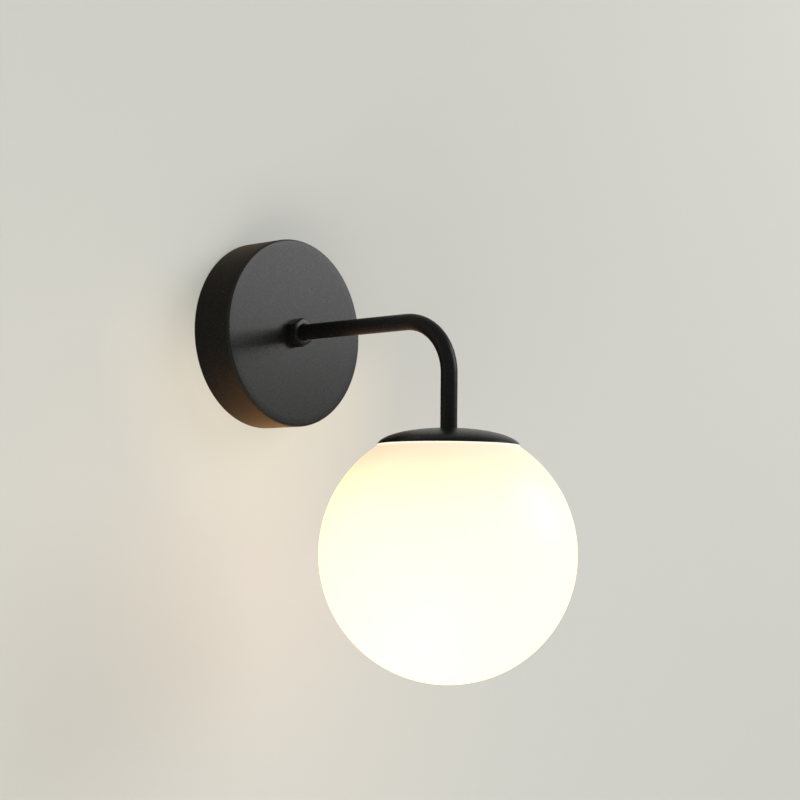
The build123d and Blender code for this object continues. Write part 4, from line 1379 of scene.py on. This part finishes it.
@dataclass
class Cap(Assembly):
    """Shallow dome over the globe's mouth, with the plate and springs that hold the glass."""

    carried: dict[str, Finish] = field(
        default_factory=lambda: {
            "cap_spacer": ZINC,
            "clip_plate": ZINC,
            "clip_rivets": BRASS,
            "nipple_washer": ZINC,
            "nipple_nut": ZINC,
        }
    )
    half_width: float = 42.0
    rise: float = 11.0
    wall: float = 1.0
    flat_radius: float = 7.0
    hole_radius: float = 4.1
    globe_radius: float = 75.0
    glass_wall: float = 3.0
    glass_gap: float = 0.3
    ring_thickness: float = 0.5
    clip_width: float = 8.0
    clip_thickness: float = 0.5
    clip_count: int = 3
    plate_radius: float = 17.0
    mouth_radius: float = 36.0
    clip_bulge: float = 1.2
    clip_foot: float = 7.5
    clip_shoulder: float = 1.0
    lip_gap: float = 2.8
    throat_gap: float = 1.8
    throat_rise: float = 0.95
    bulge_drop: float = 3.05
    tail_gap: float = 3.0
    tail_drop: float = 8.85
    clip_bends: tuple[float, ...] = (1.0, 1.0, 0.8, 1.2)
    clip_corner: float = 0.1
    flat_ring: float = 5.6
    inner_steps: int = 40
    outer_steps: int = 48
    dome_sides: int = 192
    dome_corner: float = 0.1
    seat_outer_inset: float = 0.3
    seat_inner_inset: float = 2.4
    seat_steps: int = 6
    seat_sides: int = 160
    seat_corner: float = 0.08
    halvings: int = 50

    def build(self) -> list[bpy.types.Object]:
        """Spins the dome and the seat ring, and bends the springs.

        Returns:
            The dome, the ring and the springs.
        """
        return [
            self.place(self.dome(), "globe_cap", "black_metal", SHADED_BLACK_COAT),
            self.place(self.seat(), "seat_ring", "clear_silicone", SILICONE_PAINTED_GLOW),
            self.place(self.springs(), "spring_clips", "spring_steel", SPRING_STEEL),
        ]

    @property
    def base(self) -> float:
        """Level of the ellipses' middle."""
        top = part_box("globe_cap")[1].z / MM
        return top - self.rise * math.sqrt(1 - (self.flat_radius / self.half_width) ** 2)

    @property
    def globe_level(self) -> float:
        """Level of the globe's middle."""
        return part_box("globe_glass")[0].z / MM + self.globe_radius

    def dome_arc(self, half_width: float, rise: float, steps: int) -> list[Ring]:
        """Lays out one face of the dome, from the flat on top down to its rim on the seat ring.

        Args:
            half_width: Half width of the face's ellipse, in millimetres.
            rise: Half height of the face's ellipse.
            steps: Number of stretches between points.

        Returns:
            The face's section.
        """
        sphere = self.globe_radius + self.glass_gap + self.ring_thickness
        inner, outer = self.mouth_radius, half_width
        for _ in range(self.halvings):
            middle = (inner + outer) / 2
            height = self.base + rise * math.sqrt(1 - (middle / half_width) ** 2)
            if height > self.globe_level + math.sqrt(sphere**2 - middle**2):
                inner = middle
            else:
                outer = middle
        rim = math.degrees(math.acos(inner / half_width))
        flat = math.degrees(math.acos(self.flat_radius / half_width))
        return Section.arc((0, self.base), (half_width, rise), flat, rim, steps)

    def dome(self) -> bpy.types.Object:
        """Spins the dome with its flat top and its hole for the nipple.

        Returns:
            The dome.
        """
        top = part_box("globe_cap")[1].z / MM
        inner_width, inner_rise = self.half_width - self.wall, self.rise - self.wall
        inner = self.dome_arc(inner_width, inner_rise, self.inner_steps)
        outer = self.dome_arc(self.half_width, self.rise, self.outer_steps)
        rings = [(self.hole_radius, top), (self.flat_ring, top)] + outer
        rings += inner[::-1] + [(self.hole_radius, inner[0][1])]
        return Bench.turned(
            "spun_dome_cap", rings, segments=self.dome_sides, corner=self.dome_corner
        )

    def seat(self) -> bpy.types.Object:
        """Turns the soft ring between the dome's rim and the glass.

        Returns:
            The ring.
        """
        lower = self.globe_radius + self.glass_gap
        upper = self.globe_radius + self.glass_gap + self.ring_thickness
        wide = self.half_width - self.seat_outer_inset
        narrow = self.half_width - self.wall - self.seat_inner_inset
        rings = self.shell_arc(upper, wide, narrow) + self.shell_arc(lower, narrow, wide)
        return Bench.turned(
            "soft_seat_ring", rings, segments=self.seat_sides, corner=self.seat_corner
        )

    def shell_arc(self, sphere: float, first: float, last: float) -> list[Ring]:
        """Lays out an arc round the globe's middle.

        Args:
            sphere: Radius of the arc in millimetres.
            first: Distance of its first point from the lamp's axis.
            last: Distance of its last point from the axis.

        Returns:
            The arc's points.
        """
        start = math.degrees(math.acos(first / sphere))
        end = math.degrees(math.acos(last / sphere))
        return Section.arc(
            (0, self.globe_level), (sphere, sphere), start, end, self.seat_steps
        )

    def springs(self) -> bpy.types.Object:
        """Bends one leaf spring and copies it round the axis.

        Returns:
            The springs as one piece.
        """
        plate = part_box("clip_plate")[0].z / MM
        mouth = self.globe_level + math.sqrt(self.globe_radius**2 - self.mouth_radius**2)
        inner_radius = self.globe_radius - self.glass_wall
        under = self.globe_level + math.sqrt(inner_radius**2 - self.mouth_radius**2)
        level = plate - self.clip_thickness / 2
        corners = [
            (self.plate_radius - self.clip_foot, level),
            (self.plate_radius + self.clip_shoulder, level),
            (self.mouth_radius - self.lip_gap, mouth),
            (self.mouth_radius - self.throat_gap, under + self.throat_rise),
            (self.mouth_radius + self.clip_bulge, under - self.bulge_drop),
            (self.mouth_radius - self.tail_gap, under - self.tail_drop),
        ]
        route = Section.rounded(corners, list(self.clip_bends))
        leaves = [Bench.strip("leaf", route, self.clip_width, self.clip_thickness)]
        while len(leaves) < self.clip_count:
            leaves.append(Bench.copied(leaves[0]))
        for number, leaf in enumerate(leaves):
            leaf.rotation_euler = (0, 0, QUARTER_TURN + number * math.tau / self.clip_count)
            leaf.location.y = LAMP_AXIS_Y
            Bench.finished(leaf, self.clip_corner)
        return Bench.joined(leaves, "leaf_springs")


@dataclass
class Globe(Assembly):
    """Opal glass ball with an open, fire-polished mouth."""

    radius: float = 75.0
    wall: float = 3.0
    mouth_radius: float = 36.0
    lip: float = 0.9
    steps: int = 88
    lip_steps: int = 6
    sides: int = 192

    def build(self) -> list[bpy.types.Object]:
        """Draws the ball out of the middle of its lip, as an outer and an inner skin.

        Returns:
            The ball.
        """
        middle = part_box("globe_glass")[0].z / MM + self.radius
        inner = self.radius - self.wall
        lip_radius = self.mouth_radius + self.lip
        top = math.sqrt((self.radius - self.lip) ** 2 - lip_radius**2)
        low = math.sqrt((inner + self.lip) ** 2 - lip_radius**2)
        upper_angle = math.degrees(math.atan2(top, lip_radius))
        lower_angle = math.degrees(math.atan2(low, lip_radius))
        rounding = (self.lip, self.lip)
        start = (self.mouth_radius, middle + (top + low) / 2)
        outer_lip, inner_lip = (lip_radius, middle + top), (lip_radius, middle + low)
        outside = [start]
        outside += Section.arc(outer_lip, rounding, 180, upper_angle, self.lip_steps)
        skin = (self.radius, self.radius)
        outside += Section.arc((0, middle), skin, upper_angle, -90, self.steps)[1:-1]
        outside += [(0, middle - self.radius)]
        inside = Section.arc(inner_lip, rounding, 180, 180 + lower_angle, self.lip_steps)
        inside += Section.arc((0, middle), (inner, inner), lower_angle, -90, self.steps)[1:-1]
        inside += [(0, middle - inner)]
        ball = Bench.turned("opal_glass_ball", outside, inside, segments=self.sides)
        return [self.place(ball, "globe_glass", "opal_glass", OPAL, Body.GLOBE)]


@dataclass
class LampHolder(Assembly):
    """Screw lampholder under the cap."""

    carried: dict[str, Finish] = field(
        default_factory=lambda: {
            "holder_cap": HOLDER_PLASTIC,
            "holder_shell": HOLDER_PLASTIC,
            "holder_insert": CERAMIC,
            "holder_lock_screw": SCREW_STEEL,
            "holder_terminals": BRASS,
            "holder_terminal_screws": SCREW_STEEL,
            "centre_contact": BRASS,
            "side_contact": BRASS,
        }
    )


@dataclass
class Bulb(Assembly):
    """Screw-in bulb with a white body and a lit dome."""

    carried: dict[str, Finish] = field(
        default_factory=lambda: {
            "bulb_tip_contact": LAMP_TIP,
            "bulb_insulator": LAMP_INSULATOR,
            "bulb_screw_shell": LAMP_NICKEL,
            "bulb_body": LAMP_BODY,
            "led_board": BOARD_WHITE,
            "led_chips": PHOSPHOR,
            "driver_board": BOARD_GREEN,
        }
    )
    radius: float = 22.5
    wall: float = 1.2
    steps: int = 40
    sides: int = 96

    def build(self) -> list[bpy.types.Object]:
        """Turns the dome, open at the top where the body holds it.

        Returns:
            The dome.
        """
        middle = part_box("bulb_dome")[0].z / MM + self.radius
        inner = self.radius - self.wall
        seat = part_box("bulb_dome")[1].z / MM
        outer_angle = math.degrees(math.asin((seat - middle) / self.radius))
        inner_angle = math.degrees(math.asin((seat - middle) / inner))
        centre = (0, middle)
        outside = Section.arc(centre, (self.radius,) * 2, outer_angle, -90, self.steps)[:-1]
        inside = Section.arc(centre, (inner,) * 2, inner_angle, -90, self.steps)[:-1]
        dome = Bench.turned(
            "bulb_light_dome",
            outside + [(0, middle - self.radius)],
            inside + [(0, middle - inner)],
            segments=self.sides,
        )
        return [self.place(dome, "bulb_dome", "lamp_dome", LAMP_DOME, Body.BULB)]


@dataclass
class Wiring(Assembly):
    """The three wires, from the terminal block and the canopy to the lampholder."""

    carried: dict[str, Finish] = field(
        default_factory=lambda: {
            "live_wire": WIRE_BROWN,
            "neutral_wire": WIRE_BLUE,
            "earth_wire": WIRE_EARTH,
        }
    )


# --------------------------------------------------------------------------------- studio


@dataclass
class Studio:
    """Pale wall, floor, soft lamps and the camera at the photograph's angle."""

    wall_colour: Colour = (0.650, 0.652, 0.618)
    floor_colour: Colour = (0.66, 0.66, 0.64)
    paint_shade: float = 0.985
    paint_mottle: float = 1.3
    paint_roughness: float = 0.9
    paint_specular: float = 0.15
    roller_grain: float = 260.0
    roller_depth: float = 0.00006
    # The share of even light that the eye sees on the paint.
    even_colour: Colour = (0.630, 0.638, 0.586)
    evenness: float = 0.36
    # The globe's light on the wall round the canopy: as it is seen, and as metal mirrors it.
    glow_colour: Colour = (0.92, 0.83, 0.66)
    glow_levels: Span = (0.040, -0.045)
    glow_reach: Span = (0.070, 0.140)
    glow_share: float = 0.50
    mirror_above: Colour = (0.18, 0.145, 0.105)
    mirror_below: Colour = (1.20, 0.58, 0.20)
    mirror_levels: Span = (-0.100, -0.018)
    mirror_reach: Span = (0.11, 0.15)
    mirror_share: float = 0.92
    floor_level: float = -1.3
    floor_size: float = 60.0
    wall_gap: float = 0.0004
    wall_hole: float = 58.0
    wall_sides: int = 128
    wall_ring: float = 400.0
    wall_reach: float = 4000.0
    air_colour: Colour = (1.0, 0.995, 0.98)
    ambient: float = 0.52
    key_place: Point = (1.5, -1.5, 0.9)
    key_target: Point = (0.0, 0.0, -0.05)
    key_size: float = 1.4
    key_power: float = 26.0
    fill_place: Point = (-0.85, -0.7, -1.0)
    fill_target: Point = (-0.35, 0.0, -0.45)
    fill_size: float = 1.0
    fill_power: float = 12.5
    fill_colour: Colour = (1.0, 0.96, 0.89)
    camera_place: Point = (-0.7192, -0.7299, -0.1223)
    camera_yaw: float = 49.58
    camera_pitch: float = 4.57
    camera_roll: float = 0.62
    focal_pixels: float = 1577.7

    def build(self) -> None:
        """Sets up everything round the object."""
        self.backdrop()
        self.floor()
        self.world()
        self.lamp("key_softbox", self.key_place, self.key_target, self.key_size, self.key_power)
        fill = self.lamp(
            "fill_softbox",
            self.fill_place,
            self.fill_target,
            self.fill_size,
            self.fill_power,
            self.fill_colour,
        )
        fill.visible_glossy = False
        self.camera()

    def paint(self, name: str, colour: Colour) -> bpy.types.Material:
        """Mixes matt paint with roller texture, clear from behind.

        Args:
            name: The paint's name.
            colour: Its colour.

        Returns:
            The paint.
        """
        sheet = NodeSheet(name)
        tone = tuple(part * self.paint_shade for part in colour)
        patches = sheet.span(sheet.noise(self.paint_mottle), *NARROW_NOISE, 0.0, 1.0)
        mottled = sheet.mix(patches, colour, tone)
        texture = sheet.relief(sheet.noise(self.roller_grain, detail=3.0), self.roller_depth)
        sheet.fill(
            sheet.shader, Base_Color=mottled, Roughness=self.paint_roughness, Normal=texture
        )
        sheet.shader.inputs["Specular IOR Level"].default_value = self.paint_specular
        clear = sheet.add("ShaderNodeBsdfTransparent").outputs[0]
        back = sheet.add("ShaderNodeNewGeometry").outputs["Backfacing"]
        surface = sheet.tree.nodes["Material Output"].inputs["Surface"]
        sheet.tree.links.new(sheet.blend(back, self.evened(sheet), clear), surface)
        return sheet.material

    def evened(self, sheet: NodeSheet) -> bpy.types.NodeSocket:
        """Softens the shadows on the paint where it is seen, and lights it round the canopy.

        The globe's light shows on the wall under the canopy, and deeper in the metal beside it.

        Args:
            sheet: The paint's node sheet.

        Returns:
            The paint's shader.
        """
        path = sheet.add("ShaderNodeLightPath").outputs
        camera, mirror = path["Is Camera Ray"], path["Is Glossy Ray"]
        seen = sheet.reckon(Joining.HIGHEST, camera, mirror)
        seen = sheet.reckon(Joining.HIGHEST, seen, path["Is Transmission Ray"])
        share = sheet.span(seen, 0.0, 1.0, 0.0, self.evenness)
        paint = sheet.blend(share, sheet.shader.outputs[0], sheet.light(self.even_colour))
        below = sheet.reckon(Joining.TIMES, camera, sheet.level(*self.glow_levels))
        near = self.by_canopy(sheet, self.glow_reach, self.glow_share)
        share = sheet.reckon(Joining.TIMES, below, near)
        paint = sheet.blend(share, paint, sheet.light(self.glow_colour))
        tint = sheet.mix(sheet.level(*self.mirror_levels), self.mirror_below, self.mirror_above)
        near = self.by_canopy(sheet, self.mirror_reach, self.mirror_share)
        share = sheet.reckon(Joining.TIMES, mirror, near)
        return sheet.blend(share, paint, sheet.light(tint))

    def by_canopy(self, sheet: NodeSheet, reach: Span, share: float) -> bpy.types.NodeSocket:
        """Makes a mask that fades out with the distance from the canopy's axis.

        Args:
            sheet: The paint's node sheet.
            reach: Distances in metres where it starts to fade and where it ends.
            share: Its value at the canopy.

        Returns:
            The mask.
        """
        distance = sheet.add("ShaderNodeVectorMath", operation="LENGTH")
        sheet.tree.links.new(sheet.place, distance.inputs[0])
        return sheet.span(distance.outputs["Value"], *reach, share, 0.0)

    def backdrop(self) -> None:
        """Builds the wall, open behind the canopy where nothing shows."""
        Bench.clear()
        bpy.ops.mesh.primitive_circle_add(vertices=self.wall_sides, radius=self.wall_hole * MM)
        wall = Bench.named("studio_wall")
        bpy.ops.object.mode_set(mode="EDIT")
        bpy.ops.mesh.select_mode(type="EDGE")
        bpy.ops.mesh.select_all(action="SELECT")
        Bench.draw_out((self.wall_hole, 0), [(self.wall_ring, 0), (self.wall_reach, 0)])
        bpy.ops.object.mode_set(mode="OBJECT")
        wall.rotation_euler = (QUARTER_TURN, 0, 0)
        wall.location.y = self.wall_gap
        Bench.settle(wall)
        if wall.data.polygons[0].normal.y > 0:
            bpy.ops.object.mode_set(mode="EDIT")
            bpy.ops.mesh.select_all(action="SELECT")
            bpy.ops.mesh.flip_normals()
            bpy.ops.object.mode_set(mode="OBJECT")
        wall.data.materials.append(self.paint("pale_wall_paint", self.wall_colour))

    def floor(self) -> None:
        """Lays the floor, far below the lamp."""
        Bench.clear()
        bpy.ops.mesh.primitive_plane_add(size=self.floor_size, location=(0, 0, self.floor_level))
        floor = Bench.named("studio_floor")
        Bench.settle(floor)
        floor.data.materials.append(self.paint("pale_floor_paint", self.floor_colour))

    def world(self) -> None:
        """Gives even light from all round."""
        world = bpy.data.worlds.new("studio_air")
        world.use_nodes = True
        background = world.node_tree.nodes["Background"]
        background.inputs["Color"].default_value = (*self.air_colour, 1)
        background.inputs["Strength"].default_value = self.ambient
        bpy.context.scene.world = world

    def lamp(
        self,
        name: str,
        place: Point,
        target: Point,
        size: float,
        power: float,
        colour: Colour = (1.0, 1.0, 1.0),
    ) -> bpy.types.Object:
        """Hangs a square softbox.

        Args:
            name: The lamp's name.
            place: Where it hangs, in metres.
            target: The point it faces.
            size: Its side in metres.
            power: Its power in watts.
            colour: Its tint.

        Returns:
            The lamp.
        """
        data = bpy.data.lights.new(name, "AREA")
        data.shape = "SQUARE"
        data.size = size
        data.energy = power
        data.color = colour
        lamp = bpy.data.objects.new(name, data)
        lamp.location = place
        way = Vector(target) - Vector(place)
        lamp.rotation_euler = way.to_track_quat("-Z", "Y").to_euler()
        bpy.context.scene.collection.objects.link(lamp)
        return lamp

    def camera(self) -> None:
        """Sets the camera where the photograph was taken from, and a plain view transform."""
        yaw, pitch, roll = (
            math.radians(angle)
            for angle in (self.camera_yaw, self.camera_pitch, self.camera_roll)
        )
        ahead = Vector(
            (math.sin(yaw) * math.cos(pitch), math.cos(yaw) * math.cos(pitch), math.sin(pitch))
        )
        level = Vector((math.cos(yaw), -math.sin(yaw), 0))
        over = level.cross(ahead)
        right = level * math.cos(roll) + over * math.sin(roll)
        up = over * math.cos(roll) - level * math.sin(roll)
        data = bpy.data.cameras.new("photo_camera")
        data.sensor_width = SENSOR_MM
        data.lens = self.focal_pixels * SENSOR_MM / PHOTO_PIXELS
        camera = bpy.data.objects.new("photo_camera", data)
        turn = Matrix((right, up, -ahead)).transposed().to_4x4()
        camera.matrix_world = Matrix.Translation(self.camera_place) @ turn
        bpy.context.scene.collection.objects.link(camera)
        bpy.context.scene.camera = camera
        bpy.context.scene.view_settings.view_transform = "Standard"


def main() -> None:
    """Builds the sconce piece by piece, dresses it and sets up the studio."""
    logging.basicConfig(level=logging.INFO, format="%(name)s: %(message)s")
    assemblies = [
        WallMount(), Canopy(), Arm(), Cap(), Globe(), LampHolder(), Bulb(), Wiring()
    ]
    for assembly in assemblies:
        for piece in assembly.build():
            log.info("%s modelled, %d faces", piece.name, len(piece.data.polygons))
        for node in assembly.dress():
            log.info("%s dressed", node)
    Studio().build()


if __name__ == "__main__":
    main()
